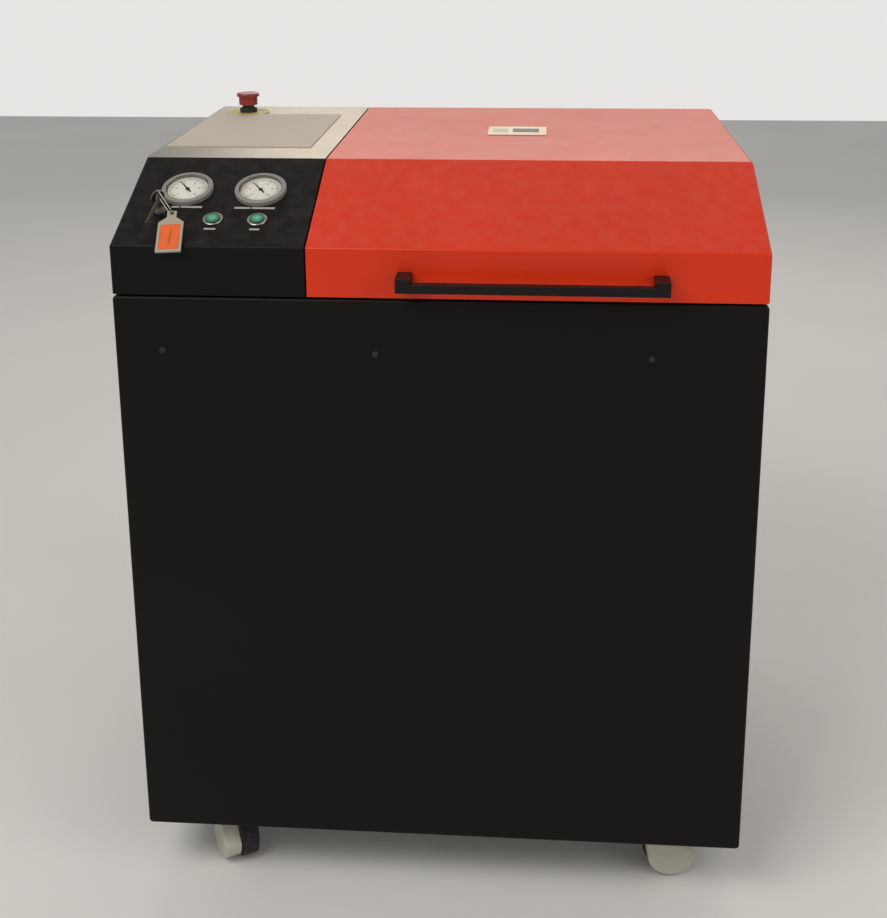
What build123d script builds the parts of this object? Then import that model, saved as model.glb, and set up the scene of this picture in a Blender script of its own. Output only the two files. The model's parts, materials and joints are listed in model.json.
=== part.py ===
# Small flexographic platesetter: a wheeled cabinet with a control console and a hinged
# loading lid, over an external drum that a laser head travels along.
# Millimetres. X runs to the right, Y to the back and Z up; the floor is at Z = 0.
from build123d import *
import math
import os

os.makedirs("parts", exist_ok=True)

# Overall sizes
machine_width = 900
cabinet_depth = 700
cabinet_height = 850
head_band = 73
slope_rise = 85
slope_run = 198
console_width = 271.5
handle_reach = 38
port_reach = 35

# Sheet metal and its joints
sheet = 2.5
seam = 3
pan_depth = 20
pan_gap = 1
lid_gap = 2
corner_radius = 6
crease_radius = 4
edge_radius = 1.2
lip = 32
lid_lip = 13
deck_setback = 8

# Frame and base
tube = 40
tube_wall = 2.5
base_thickness = 3

# Casters
caster_height = 97
wheel_diameter = 80
wheel_width = 28
caster_trail = 22
caster_inset_x = 120
caster_inset_y = 90
plate_thickness = 3
axle_radius = 4
running_gap = 0.06
clear_gap = 0.5
seat_gap = 0.3

# Drum, sized by the longest plate that wraps round it
plate_length = 400
drum_length = 430
drum_centre_x = 105
drum_setback = 235
drum_lift = 71
journal_radius = 12

# Laser carriage, rail and screw
rail_setback = 430
beam_width = 34
beam_height = 40
rail_width = 15
rail_height = 12
carriage_width = 100
carriage_rest_x = -70
screw_setback = 482
screw_lift = 21
screw_radius = 6

# Lid hinge and gas strut
hinge_radius = 5.5
hinge_pin_radius = 2.5
hinge_length = 60
hinge_drop = 56
hinge_gap = 3
strut_foot_forward = 50
strut_foot_drop = 86
strut_top_forward = 120
strut_top_rise = 28
strut_inset = 25
strut_radius = 9
strut_wall = 1.5
rod_radius = 4
strut_pin_radius = 4
eye_radius = 8
eye_thickness = 9
stud_length = 5
pad_radius = 17
tube_start = 14
tube_clearance = 24
gland_length = 8
piston_lift = 4
piston_length = 5
bracket_thickness = 4
bracket_width = 28
leaf_thickness = 2
leaf_height = 34
knuckle_gap = 0.4

# Handle on the lid
handle_left = -50.5
handle_length = 365
handle_bar = 12.6
handle_post = 20
handle_lift = 18

# Gauges, buttons, key switch and stop button on the console
gauge_x = (-367, -260)
gauge_s = 130.5
gauge_radius = 37.25
gauge_case_radius = 31
gauge_depth = 28
gauge_rise = 7
needle_turn = (38, 38)
button_x = (-316, -253)
button_s = 60.5
bezel_radius = 14.3
bezel_rise = 3.2
cap_radius = 10.6
cap_rise = 5.2
button_travel = 2.5
barrel_radius = 11
key_x = -394
key_s = 76
lock_radius = 10
lock_rise = 5
lock_depth = 18
plug_radius = 5.4
key_turn = 41
key_hole_lift = 32
key_hole = 2.6
key_thickness = 2
key_neck = 7
bow_radius = 10
loop_bend = 6
loop_wire = 0.9
spare_length = 40
spare_width = 5
spare_bow = 6
spare_thickness = 1.6
spare_foot_x = -408
spare_foot_s = 34
tag_reach = 40
tag_hang_lift = 20
tag_width = 35
tag_body = 50
tag_neck = 13
tag_thickness = 2.6
tag_eye_radius = 2.8
tag_eye_shift = 1.0
tag_foot_x = -362.5
tag_foot_s = -15.5
tag_foot_lift = 1.6
card_width = 28
card_length = 42
card_thickness = 0.6
stop_x = -388
stop_setback = 628
stop_disc_radius = 38
stop_travel = 5
stop_neck_radius = 10.5
collar_wall = 5
stop_head_radius = 16.5
stop_cap_radius = 20

# Work mat on the console and plate on the lid
mat_width = 228
mat_depth = 318
mat_left = -443
mat_setback = 285
mat_thickness = 1.6
lid_plate_left = 54
lid_plate_width = 96
lid_plate_setback = 405
lid_plate_depth = 78
lid_plate_thickness = 1.6

# Where the main surfaces lie
half_width = machine_width / 2
front_y = -(cabinet_depth + handle_reach + port_reach) / 2 + handle_reach
back_y = front_y + cabinet_depth
cabinet_bottom = caster_height
cabinet_top = cabinet_bottom + cabinet_height
head_bottom = cabinet_top + seam
crease_z = cabinet_top + head_band
top_z = crease_z + slope_rise
slope_top_y = front_y + slope_run
console_right = -half_width + console_width
lid_left = console_right + lid_gap
lid_bottom = head_bottom + seat_gap
hinge_y = back_y + hinge_radius
hinge_z = top_z - hinge_drop
slope_plane = Plane(origin=(0, front_y, crease_z), x_dir=(1, 0, 0),
                    z_dir=(0, -slope_rise, slope_run))


def slope_at(x, s, lift=0, turn=0):
    # A plane on the sloping panel, s up the slope from the crease, lifted and turned.
    across = slope_plane.x_dir.rotate(Axis((0, 0, 0), slope_plane.z_dir), turn)
    return Plane(origin=slope_plane.from_local_coords((x, s, lift)), x_dir=across,
                 z_dir=slope_plane.z_dir)


def head_profile(bottom):
    # Side outline of the machine's head: upright band, sloping panel and flat top.
    return [(front_y, bottom), (front_y, crease_z), (slope_top_y, top_z),
            (back_y, top_z), (back_y, bottom)]


def cover_pan(outer, width, height):
    # A folded cover: a flat face with a rim turned in all round.
    inward = Axis(outer.origin, outer.z_dir)
    with BuildPart() as pan:
        with BuildSketch(outer):
            RectangleRounded(width, height, corner_radius)
        extrude(amount=-pan_depth)
        fillet(pan.faces().sort_by(inward)[-1].edges(), crease_radius)
        offset(amount=-sheet, openings=pan.faces().sort_by(inward)[0])
    return pan.part


# Base plate, closing the frame below and carrying the casters
frame_width = machine_width - 2 * pan_depth
frame_depth = cabinet_depth - 2 * pan_depth
frame_centre_y = front_y + cabinet_depth / 2
frame_bottom = cabinet_bottom + base_thickness
with BuildPart() as base_plate:
    with BuildSketch(Plane.XY.offset(cabinet_bottom)):
        with Locations((0, frame_centre_y)):
            RectangleRounded(frame_width, frame_depth, corner_radius)
    extrude(amount=base_thickness)
base_plate.part.label = "base_plate"
export_step(base_plate.part, "parts/base_plate.step")

# Welded frame of square tube: four posts tied by rails at the bottom and at the top
post_span_x = frame_width - tube
post_span_y = frame_depth - tube
tube_bore = tube - 2 * tube_wall
with BuildPart() as frame:
    with BuildSketch(Plane.XY.offset(frame_bottom)):
        with Locations((0, frame_centre_y)):
            with GridLocations(post_span_x, post_span_y, 2, 2):
                Rectangle(tube, tube)
                Rectangle(tube_bore, tube_bore, mode=Mode.SUBTRACT)
    extrude(amount=cabinet_top - frame_bottom)
    rail_levels = (frame_bottom + tube / 2, cabinet_top - tube / 2)
    for level in rail_levels:
        for side in (-1, 1):
            with BuildSketch(Plane.YZ.offset(-(post_span_x - tube) / 2)):
                with Locations((frame_centre_y + side * post_span_y / 2, level)):
                    Rectangle(tube, tube)
                    Rectangle(tube_bore, tube_bore, mode=Mode.SUBTRACT)
            extrude(amount=post_span_x - tube)
            with BuildSketch(Plane.XZ.offset(-(frame_centre_y - (post_span_y - tube) / 2))):
                with Locations((side * post_span_x / 2, level)):
                    Rectangle(tube, tube)
                    Rectangle(tube_bore, tube_bore, mode=Mode.SUBTRACT)
            extrude(amount=-(post_span_y - tube))
frame.part.label = "frame"
export_step(frame.part, "parts/frame.step")

# Front cover, full width, held by countersunk screws near its top edge
screw_x = (-383.5, -83.5, 296)
screw_drop = 78
screw_head_radius = 5.5
screw_radius_cover = 2.5
screw_length = 12
cabinet_middle_z = cabinet_bottom + cabinet_height / 2
front_plane = Plane(origin=(0, front_y, cabinet_middle_z), x_dir=(1, 0, 0), z_dir=(0, -1, 0))
rear_plane = Plane(origin=(0, back_y, cabinet_middle_z), x_dir=(-1, 0, 0), z_dir=(0, 1, 0))
screw_row = cabinet_height / 2 - screw_drop
with BuildPart() as front_cover:
    add(cover_pan(front_plane, machine_width, cabinet_height))
    with Locations(*[front_plane.location * Location((x, screw_row, 0)) for x in screw_x]):
        CounterSinkHole(screw_radius_cover, screw_head_radius, depth=2 * sheet)
front_cover.part.label = "front_cover"
export_step(front_cover.part, "parts/front_cover.step")

# Side covers, between the rims of the front and rear covers
side_depth = cabinet_depth - 2 * (pan_depth + pan_gap)
for side, name in ((-1, "left_cover"), (1, "right_cover")):
    side_plane = Plane(origin=(side * half_width, frame_centre_y, cabinet_middle_z),
                       x_dir=(0, side, 0), z_dir=(side, 0, 0))
    with BuildPart() as side_cover:
        add(cover_pan(side_plane, side_depth, cabinet_height))
    side_cover.part.label = name
    export_step(side_cover.part, f"parts/{name}.step")

# Rear cover, with louvres, an extraction port and a recess for the mains inlet
louvre_count = 9
louvre_pitch = 16
louvre_length = 180
louvre_height = 6
louvre_x = 220
louvre_drop = 600
port_x = -230
port_drop = 130
port_radius = 25
port_wall = 2
inlet_x = 330
inlet_drop = 760
inlet_width = 48
inlet_height = 28
with BuildPart() as rear_cover:
    add(cover_pan(rear_plane, machine_width, cabinet_height))
    with BuildSketch(rear_plane):
        with Locations((-louvre_x, cabinet_height / 2 - louvre_drop)):
            with GridLocations(0, louvre_pitch, 1, louvre_count):
                SlotOverall(louvre_length, louvre_height)
        with Locations((-port_x, cabinet_height / 2 - port_drop)):
            Circle(port_radius - port_wall)
        with Locations((-inlet_x, cabinet_height / 2 - inlet_drop)):
            RectangleRounded(inlet_width, inlet_height, 3)
        with Locations(*[(x, screw_row) for x in screw_x]):
            Circle(screw_radius_cover + running_gap)
    extrude(amount=-2 * sheet, mode=Mode.SUBTRACT)
rear_cover.part.label = "rear_cover"
export_step(rear_cover.part, "parts/rear_cover.step")

# Extraction port: a flanged spigot that a fume hose slips over
port_flange = 12
port_plane = Plane(origin=(port_x, back_y, cabinet_top - port_drop),
                   x_dir=(-1, 0, 0), z_dir=(0, 1, 0))
with BuildPart() as extraction_port:
    with BuildSketch(port_plane):
        Circle(port_radius + port_flange)
        Circle(port_radius - port_wall, mode=Mode.SUBTRACT)
    extrude(amount=sheet)
    with BuildSketch(port_plane.offset(sheet)):
        Circle(port_radius)
        Circle(port_radius - port_wall, mode=Mode.SUBTRACT)
    extrude(amount=port_reach - sheet)
extraction_port.part.label = "extraction_port"
export_step(extraction_port.part, "parts/extraction_port.step")

# Mains inlet socket with its rocker switch, set in the rear cover
inlet_depth = 26
inlet_plane = Plane(origin=(inlet_x, back_y, cabinet_top - inlet_drop),
                    x_dir=(-1, 0, 0), z_dir=(0, 1, 0))
with BuildPart() as mains_inlet:
    with BuildSketch(inlet_plane):
        RectangleRounded(inlet_width + 10, inlet_height + 10, 4)
    extrude(amount=2)
    with BuildSketch(inlet_plane):
        RectangleRounded(inlet_width - 2 * seat_gap, inlet_height - 2 * seat_gap, 3)
    extrude(amount=-inlet_depth)
    with BuildSketch(inlet_plane.offset(2)):
        with Locations((inlet_width / 6, 0)):
            RectangleRounded(inlet_width / 2, inlet_height - 8, 2)
    extrude(amount=-inlet_depth + 6, mode=Mode.SUBTRACT)
    with BuildSketch(inlet_plane.offset(2)):
        with Locations((-inlet_width / 3, 0)):
            Rectangle(inlet_width / 5, inlet_height - 10)
    extrude(amount=2.5)
mains_inlet.part.label = "mains_inlet"
export_step(mains_inlet.part, "parts/mains_inlet.step")

# Cover screws, countersunk in the front cover and button-headed on the rear cover
with BuildPart() as cover_screws:
    for x in screw_x:
        head_depth = screw_head_radius - screw_radius_cover
        face = Plane(origin=(x, front_y, cabinet_top - screw_drop),
                     x_dir=(1, 0, 0), z_dir=(0, -1, 0))
        with BuildSketch(face.offset(-1)):
            Circle(screw_head_radius - 1)
        with BuildSketch(face.offset(-head_depth)):
            Circle(screw_radius_cover)
        loft()
        with BuildSketch(face.offset(-head_depth)):
            Circle(screw_radius_cover)
        extrude(amount=head_depth - screw_length)
        back_face = Plane(origin=(-x, back_y, cabinet_top - screw_drop),
                          x_dir=(-1, 0, 0), z_dir=(0, 1, 0))
        with BuildSketch(back_face):
            Circle(screw_head_radius)
        extrude(amount=head_depth, taper=20)
        with BuildSketch(back_face):
            Circle(screw_radius_cover)
        extrude(amount=-screw_length)
cover_screws.part.label = "cover_screws"
export_step(cover_screws.part, "parts/cover_screws.step")

# Deck: the floor of the head, turned up behind the loading bay
rear_wall_top = hinge_z - hinge_gap
with BuildPart() as deck:
    with BuildSketch(Plane.XY.offset(cabinet_top)):
        with Locations((0, frame_centre_y)):
            Rectangle(machine_width - 2 * deck_setback, cabinet_depth - 2 * deck_setback)
    extrude(amount=seam)
    wall_left = lid_left + clear_gap
    wall_width = half_width - clear_gap - wall_left
    with BuildSketch(Plane.XY.offset(cabinet_top)):
        with Locations((wall_left + wall_width / 2, back_y - pan_depth / 2)):
            Rectangle(wall_width, pan_depth)
    extrude(amount=seam)
    with BuildSketch(Plane.XY.offset(head_bottom)):
        with Locations((wall_left + wall_width / 2, back_y - sheet / 2)):
            Rectangle(wall_width, sheet)
    extrude(amount=rear_wall_top - head_bottom)
deck.part.label = "deck"
export_step(deck.part, "parts/deck.step")

# Console shell: side walls, sloping panel and front band in one folded sheet
with BuildPart() as console_shell:
    with BuildSketch(Plane.YZ.offset(-half_width)):
        Polygon(*head_profile(head_bottom), align=None)
    extrude(amount=console_width)
    outer_left = console_shell.faces().sort_by(Axis.X)[0]
    fillet(outer_left.edges().filter_by(Axis.Y, reverse=True), corner_radius)
    crease = console_shell.edges().filter_by(Axis.X).filter_by_position(
        Axis.Z, crease_z - 1, crease_z + 1)
    fillet(crease, crease_radius)
    offset(amount=-sheet, openings=console_shell.faces().sort_by(Axis.Z)[-1])
    with BuildSketch(Plane.XY.offset(head_bottom)):
        with Locations((-half_width + console_width / 2, frame_centre_y)):
            Rectangle(console_width - 2 * lip, cabinet_depth - 2 * lip)
    extrude(amount=2 * sheet, mode=Mode.SUBTRACT)
    with BuildSketch(Plane.XY.offset(top_z - sheet)):
        with Locations((0, slope_top_y + cabinet_depth / 2)):
            Rectangle(2 * machine_width, cabinet_depth)
    extrude(amount=2 * sheet, mode=Mode.SUBTRACT)
    with BuildSketch(slope_plane.offset(sheet)):
        with Locations(*[(x, gauge_s) for x in gauge_x]):
            Circle(gauge_case_radius + clear_gap)
        with Locations(*[(x, button_s) for x in button_x]):
            Circle(barrel_radius + clear_gap)
        with Locations((key_x, key_s)):
            Circle(lock_radius - 2 + clear_gap)
    extrude(amount=-4 * sheet, mode=Mode.SUBTRACT)
    outer_right = console_shell.faces().sort_by(Axis.X)[-1]
    fillet(outer_right.edges().filter_by(Axis.Y, reverse=True).group_by(Axis.Y)[0], edge_radius)
console_shell.part.label = "console_shell"
export_step(console_shell.part, "parts/console_shell.step")

# Steel top plate of the console
with BuildPart() as console_top:
    with BuildSketch(Plane.XY.offset(top_z - sheet)):
        with Locations((-half_width + console_width / 2, (slope_top_y + back_y) / 2)):
            Rectangle(console_width, back_y - slope_top_y)
    extrude(amount=sheet)
    left_corners = console_top.edges().filter_by(Axis.Z).group_by(Axis.X)[0]
    fillet(left_corners, corner_radius)
    fillet(console_top.faces().sort_by(Axis.Z)[-1].edges(), edge_radius / 2)
console_top.part.label = "console_top"
export_step(console_top.part, "parts/console_top.step")

# Soft work mat lying on the steel top
with BuildPart() as work_mat:
    with BuildSketch(Plane.XY.offset(top_z)):
        with Locations((mat_left + mat_width / 2, front_y + mat_setback + mat_depth / 2)):
            RectangleRounded(mat_width, mat_depth, 3)
        with Locations((stop_x, front_y + stop_setback)):
            Circle(stop_disc_radius + clear_gap, mode=Mode.SUBTRACT)
    extrude(amount=mat_thickness)
work_mat.part.label = "work_mat"
export_step(work_mat.part, "parts/work_mat.step")

# Lid: a folded hood with its own side walls and a short wall at the back
lid_width = half_width - lid_left
hinge_x = (lid_left + 110, half_width - 110)
with BuildPart() as lid_shell:
    with BuildSketch(Plane.YZ.offset(lid_left)):
        Polygon(*head_profile(lid_bottom), align=None)
    extrude(amount=lid_width)
    outer_right = lid_shell.faces().sort_by(Axis.X)[-1]
    fillet(outer_right.edges().filter_by(lambda edge: edge.center().Z > lid_bottom + 1),
           corner_radius)
    cross_edges = lid_shell.edges().filter_by(Axis.X).filter_by_position(
        Axis.Z, crease_z - 1, top_z + 1)
    fillet(cross_edges, crease_radius)
    offset(amount=-sheet, openings=lid_shell.faces().sort_by(Axis.Z)[0])
    with BuildSketch(Plane.XY.offset(lid_bottom)):
        with Locations((lid_left + lid_width / 2, back_y)):
            Rectangle(2 * lid_width, 2 * (sheet + clear_gap))
    extrude(amount=hinge_z + hinge_gap - lid_bottom, mode=Mode.SUBTRACT)
    with BuildSketch(Plane.XY.offset(lid_bottom)):
        lip_depth = cabinet_depth - pan_depth - edge_radius
        with Locations((lid_left + lid_width / 2, front_y + edge_radius + lip_depth / 2)):
            RectangleRounded(lid_width - 2 * edge_radius, lip_depth, corner_radius - edge_radius)
        with Locations((lid_left + lid_width / 2, front_y + lid_lip + cabinet_depth / 2)):
            Rectangle(lid_width - 2 * lid_lip, cabinet_depth, mode=Mode.SUBTRACT)
    extrude(amount=sheet)
    outer_left = lid_shell.faces().sort_by(Axis.X)[0]
    fillet(outer_left.edges().filter_by(lambda edge: edge.center().Z > lid_bottom + 1
                                        and edge.center().Y < back_y - 4 * corner_radius),
           edge_radius)
lid_shell.part.label = "lid_shell"
export_step(lid_shell.part, "parts/lid_shell.step")

# Bar handle: a square bar between two deeper posts
handle_right = handle_left + handle_length
handle_bottom = head_bottom + handle_lift
handle_top = handle_bottom + handle_post
with BuildPart() as lid_handle:
    with BuildSketch(Plane.XZ.offset(-front_y)):
        for x in (handle_left + handle_post / 2, handle_right - handle_post / 2):
            with Locations((x, handle_top - handle_post / 2)):
                Rectangle(handle_post, handle_post)
    extrude(amount=handle_reach)
    with BuildSketch(Plane.XZ.offset(-front_y + handle_reach - handle_bar)):
        with Locations(((handle_left + handle_right) / 2, handle_bottom + handle_bar / 2)):
            Rectangle(handle_length, handle_bar)
    extrude(amount=handle_bar)
    fillet(lid_handle.faces().sort_by(Axis.Y)[0].edges(), edge_radius)
lid_handle.part.label = "lid_handle"
export_step(lid_handle.part, "parts/lid_handle.step")

# Thin plate fixed on the lid's top
with BuildPart() as lid_plate:
    with BuildSketch(Plane.XY.offset(top_z)):
        with Locations((lid_plate_left + lid_plate_width / 2,
                        front_y + lid_plate_setback + lid_plate_depth / 2)):
            RectangleRounded(lid_plate_width, lid_plate_depth, 3)
    extrude(amount=lid_plate_thickness)
    fillet(lid_plate.faces().sort_by(Axis.Z)[-1].edges(), edge_radius / 2)
lid_plate.part.label = "lid_plate"
export_step(lid_plate.part, "parts/lid_plate.step")

# Gas strut beside the lid's right wall, closed at rest
strut_x = half_width - strut_inset
foot_y = hinge_y - strut_foot_forward
foot_z = hinge_z - strut_foot_drop
strut_top_y = hinge_y - strut_top_forward
strut_top_z = hinge_z + strut_top_rise
strut_length = math.hypot(strut_top_y - foot_y, strut_top_z - foot_z)
strut_plane = Plane(origin=(strut_x, foot_y, foot_z), x_dir=(1, 0, 0),
                    z_dir=(0, strut_top_y - foot_y, strut_top_z - foot_z))
eye_end = strut_x + eye_thickness / 2
pad_start = eye_end + stud_length + clear_gap

# Lid fittings: hinge leaves with the middle knuckles, and the pad the strut bears against
middle_knuckle = hinge_length / 3
knuckle_z = hinge_gap + 4
with BuildPart() as lid_fittings:
    for x in hinge_x:
        with BuildSketch(Plane.XZ.offset(-back_y)):
            with Locations((x, hinge_z + knuckle_z + leaf_height / 2)):
                Rectangle(hinge_length, leaf_height)
            with Locations((x, hinge_z + knuckle_z)):
                Rectangle(middle_knuckle, 2 * knuckle_z)
        extrude(amount=-leaf_thickness)
        with BuildSketch(Plane.YZ.offset(x - middle_knuckle / 2)):
            with Locations((hinge_y, hinge_z)):
                Circle(hinge_radius)
        extrude(amount=middle_knuckle)
    with BuildSketch(Plane.YZ.offset(lid_left)):
        with Locations((hinge_y, hinge_z)):
            Circle(hinge_pin_radius + running_gap)
    extrude(amount=lid_width, mode=Mode.SUBTRACT)
    with BuildSketch(Plane.YZ.offset(pad_start)):
        with Locations((strut_top_y, strut_top_z)):
            Circle(pad_radius)
    extrude(amount=half_width - sheet - pad_start)
lid_fittings.part.label = "lid_fittings"
export_step(lid_fittings.part, "parts/lid_fittings.step")

# Deck fittings: fixed hinge leaves with their pins, and the foot of the gas strut
outer_knuckle = (hinge_length - middle_knuckle) / 2 - knuckle_gap
bracket_x = strut_x - strut_radius - clear_gap
with BuildPart() as deck_fittings:
    for x in hinge_x:
        with BuildSketch(Plane.XZ.offset(-back_y)):
            with Locations((x, hinge_z - knuckle_z - leaf_height / 2)):
                Rectangle(hinge_length, leaf_height)
            for side in (-1, 1):
                with Locations((x + side * (hinge_length - outer_knuckle) / 2,
                                hinge_z - knuckle_z)):
                    Rectangle(outer_knuckle, 2 * knuckle_z)
        extrude(amount=-leaf_thickness)
        for start in (x - hinge_length / 2, x + hinge_length / 2 - outer_knuckle):
            with BuildSketch(Plane.YZ.offset(start)):
                with Locations((hinge_y, hinge_z)):
                    Circle(hinge_radius)
            extrude(amount=outer_knuckle)
        with BuildSketch(Plane.YZ.offset(x - hinge_length / 2)):
            with Locations((hinge_y, hinge_z)):
                Circle(hinge_pin_radius)
        extrude(amount=hinge_length)
    with BuildSketch(Plane.YZ.offset(bracket_x)):
        with BuildLine():
            Polyline((foot_y - eye_radius, foot_z), (foot_y - 2 * eye_radius, head_bottom),
                     (foot_y + 2 * eye_radius, head_bottom), (foot_y + eye_radius, foot_z))
            ThreePointArc((foot_y + eye_radius, foot_z), (foot_y, foot_z + eye_radius),
                          (foot_y - eye_radius, foot_z))
        make_face()
    extrude(amount=-bracket_thickness)
    with BuildSketch(Plane.XY.offset(head_bottom)):
        with Locations((bracket_x - bracket_width / 2, foot_y)):
            Rectangle(bracket_width, 4 * eye_radius)
    extrude(amount=bracket_thickness)
    with BuildSketch(Plane.YZ.offset(bracket_x)):
        with Locations((foot_y, foot_z)):
            Circle(strut_pin_radius)
    extrude(amount=eye_end + 1 - bracket_x)
deck_fittings.part.label = "deck_fittings"
export_step(deck_fittings.part, "parts/deck_fittings.step")

# Gas strut: a tube swinging on the foot, with the rod sliding in its gland
tube_end = strut_length - tube_clearance
with BuildPart() as strut_tube:
    with BuildSketch(Plane.YZ.offset(strut_x - eye_thickness / 2)):
        with Locations((foot_y, foot_z)):
            Circle(eye_radius)
    extrude(amount=eye_thickness)
    with BuildSketch(strut_plane):
        Circle(5)
    extrude(amount=tube_start)
    with BuildSketch(strut_plane.offset(tube_start)):
        Circle(strut_radius)
    extrude(amount=tube_end - tube_start)
    with BuildSketch(strut_plane.offset(tube_start + strut_wall)):
        Circle(strut_radius - strut_wall)
    extrude(amount=tube_end - tube_start - gland_length - strut_wall, mode=Mode.SUBTRACT)
    with BuildSketch(strut_plane.offset(tube_end)):
        Circle(rod_radius + running_gap)
    extrude(amount=-2 * gland_length, mode=Mode.SUBTRACT)
    with BuildSketch(Plane.YZ.offset(strut_x)):
        with Locations((foot_y, foot_z)):
            Circle(strut_pin_radius + running_gap)
    extrude(amount=eye_thickness, both=True, mode=Mode.SUBTRACT)
strut_tube.part.label = "strut_tube"
export_step(strut_tube.part, "parts/strut_tube.step")

piston_start = tube_start + piston_lift
with BuildPart() as strut_rod:
    with BuildSketch(strut_plane.offset(piston_start)):
        Circle(strut_radius - strut_wall - clear_gap)
    extrude(amount=piston_length)
    with BuildSketch(strut_plane.offset(piston_start)):
        Circle(rod_radius)
    extrude(amount=strut_length - piston_start)
    with BuildSketch(Plane.YZ.offset(strut_x - eye_thickness / 2)):
        with Locations((strut_top_y, strut_top_z)):
            Circle(eye_radius)
    extrude(amount=eye_thickness)
    with BuildSketch(Plane.YZ.offset(strut_x + eye_thickness / 2)):
        with Locations((strut_top_y, strut_top_z)):
            Circle(strut_pin_radius)
    extrude(amount=stud_length)
strut_rod.part.label = "strut_rod"
export_step(strut_rod.part, "parts/strut_rod.step")

# Drum: a hollow cylinder on two end discs, with a clamp slot for each end of the plate
drum_radius = plate_length / (2 * math.pi)
drum_y = front_y + drum_setback
drum_z = head_bottom + drum_lift
drum_wall = 8
disc_thickness = 12
groove_count = 7
groove_pitch = 50
groove_width = 4
groove_depth = 1.5
clamp_width = 14
clamp_depth = 3
clamp_offset = 11
bearing_width = 18
bearing_gap = 8
pulley_radius = 24
pulley_width = 14
left_bearing = drum_centre_x - drum_length / 2 - bearing_gap - bearing_width
right_bearing = drum_centre_x + drum_length / 2 + bearing_gap
pulley_x = right_bearing + bearing_width + 6
drum_left = Plane.YZ.offset(drum_centre_x - drum_length / 2)
with BuildPart() as drum:
    with BuildSketch(drum_left):
        with Locations((drum_y, drum_z)):
            Circle(drum_radius)
            Circle(drum_radius - drum_wall, mode=Mode.SUBTRACT)
    extrude(amount=drum_length)
    for start in (0, drum_length - disc_thickness):
        with BuildSketch(drum_left.offset(start)):
            with Locations((drum_y, drum_z)):
                Circle(drum_radius - drum_wall)
                with PolarLocations(drum_radius / 2, 6):
                    Circle(drum_radius / 7, mode=Mode.SUBTRACT)
        extrude(amount=disc_thickness)
    for index in range(groove_count):
        shift = (index - (groove_count - 1) / 2) * groove_pitch
        with BuildSketch(Plane.YZ.offset(drum_centre_x + shift - groove_width / 2)):
            with Locations((drum_y, drum_z)):
                Circle(drum_radius + 1)
                Circle(drum_radius - groove_depth, mode=Mode.SUBTRACT)
        extrude(amount=groove_width, mode=Mode.SUBTRACT)
    for side in (-1, 1):
        clamp_axis = Plane(origin=(drum_centre_x, drum_y, drum_z), x_dir=(1, 0, 0),
                           z_dir=(0, side * clamp_offset, drum_radius))
        with BuildSketch(clamp_axis.offset(drum_radius - clamp_depth)):
            SlotOverall(drum_length - 30, clamp_width)
        extrude(amount=2 * clamp_depth, mode=Mode.SUBTRACT)
        with BuildSketch(clamp_axis.offset(drum_radius - clamp_depth - 1)):
            SlotOverall(drum_length - 34, clamp_width - 3)
        extrude(amount=clamp_depth)
    with BuildSketch(Plane.YZ.offset(left_bearing - 6)):
        with Locations((drum_y, drum_z)):
            Circle(journal_radius)
    extrude(amount=pulley_x + pulley_width + 4 - left_bearing + 6)
    with BuildSketch(Plane.YZ.offset(pulley_x)):
        with Locations((drum_y, drum_z)):
            Circle(pulley_radius)
    extrude(amount=pulley_width)
drum.part.label = "drum"
export_step(drum.part, "parts/drum.step")

# Bearing blocks that carry the drum's journals
block_half = 34
with BuildPart() as bearing_blocks:
    for start in (left_bearing, right_bearing):
        with BuildSketch(Plane.YZ.offset(start)):
            with BuildLine():
                Polyline((drum_y - block_half / 1.4, drum_z), (drum_y - block_half, head_bottom),
                         (drum_y + block_half, head_bottom), (drum_y + block_half / 1.4, drum_z))
                ThreePointArc((drum_y + block_half / 1.4, drum_z),
                              (drum_y, drum_z + block_half / 1.4),
                              (drum_y - block_half / 1.4, drum_z))
            make_face()
            with Locations((drum_y, drum_z)):
                Circle(journal_radius + running_gap, mode=Mode.SUBTRACT)
        extrude(amount=bearing_width)
bearing_blocks.part.label = "bearing_blocks"
export_step(bearing_blocks.part, "parts/bearing_blocks.step")

# Drum motor standing on the deck, its pulley in line with the drum's
motor_size = 56
motor_length = 46
motor_setback = 378
motor_pulley_radius = 10
motor_y = front_y + motor_setback
motor_z = head_bottom + motor_size / 2
motor_x = pulley_x + pulley_width + 6
motor_shaft_radius = 4
motor_bore_depth = 12
with BuildPart() as drum_motor:
    with BuildSketch(Plane.YZ.offset(motor_x)):
        with Locations((motor_y, motor_z)):
            RectangleRounded(motor_size, motor_size, 5)
    extrude(amount=motor_length)
    with BuildSketch(Plane.YZ.offset(motor_x)):
        with Locations((motor_y, motor_z)):
            Circle(motor_shaft_radius + running_gap)
    extrude(amount=motor_bore_depth, mode=Mode.SUBTRACT)
drum_motor.part.label = "drum_motor"
export_step(drum_motor.part, "parts/drum_motor.step")

with BuildPart() as motor_pulley:
    with BuildSketch(Plane.YZ.offset(pulley_x)):
        with Locations((motor_y, motor_z)):
            Circle(motor_pulley_radius)
    extrude(amount=pulley_width)
    with BuildSketch(Plane.YZ.offset(pulley_x)):
        with Locations((motor_y, motor_z)):
            Circle(motor_shaft_radius)
    extrude(amount=motor_x + motor_bore_depth - 1 - pulley_x)
motor_pulley.part.label = "motor_pulley"
export_step(motor_pulley.part, "parts/motor_pulley.step")

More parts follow.
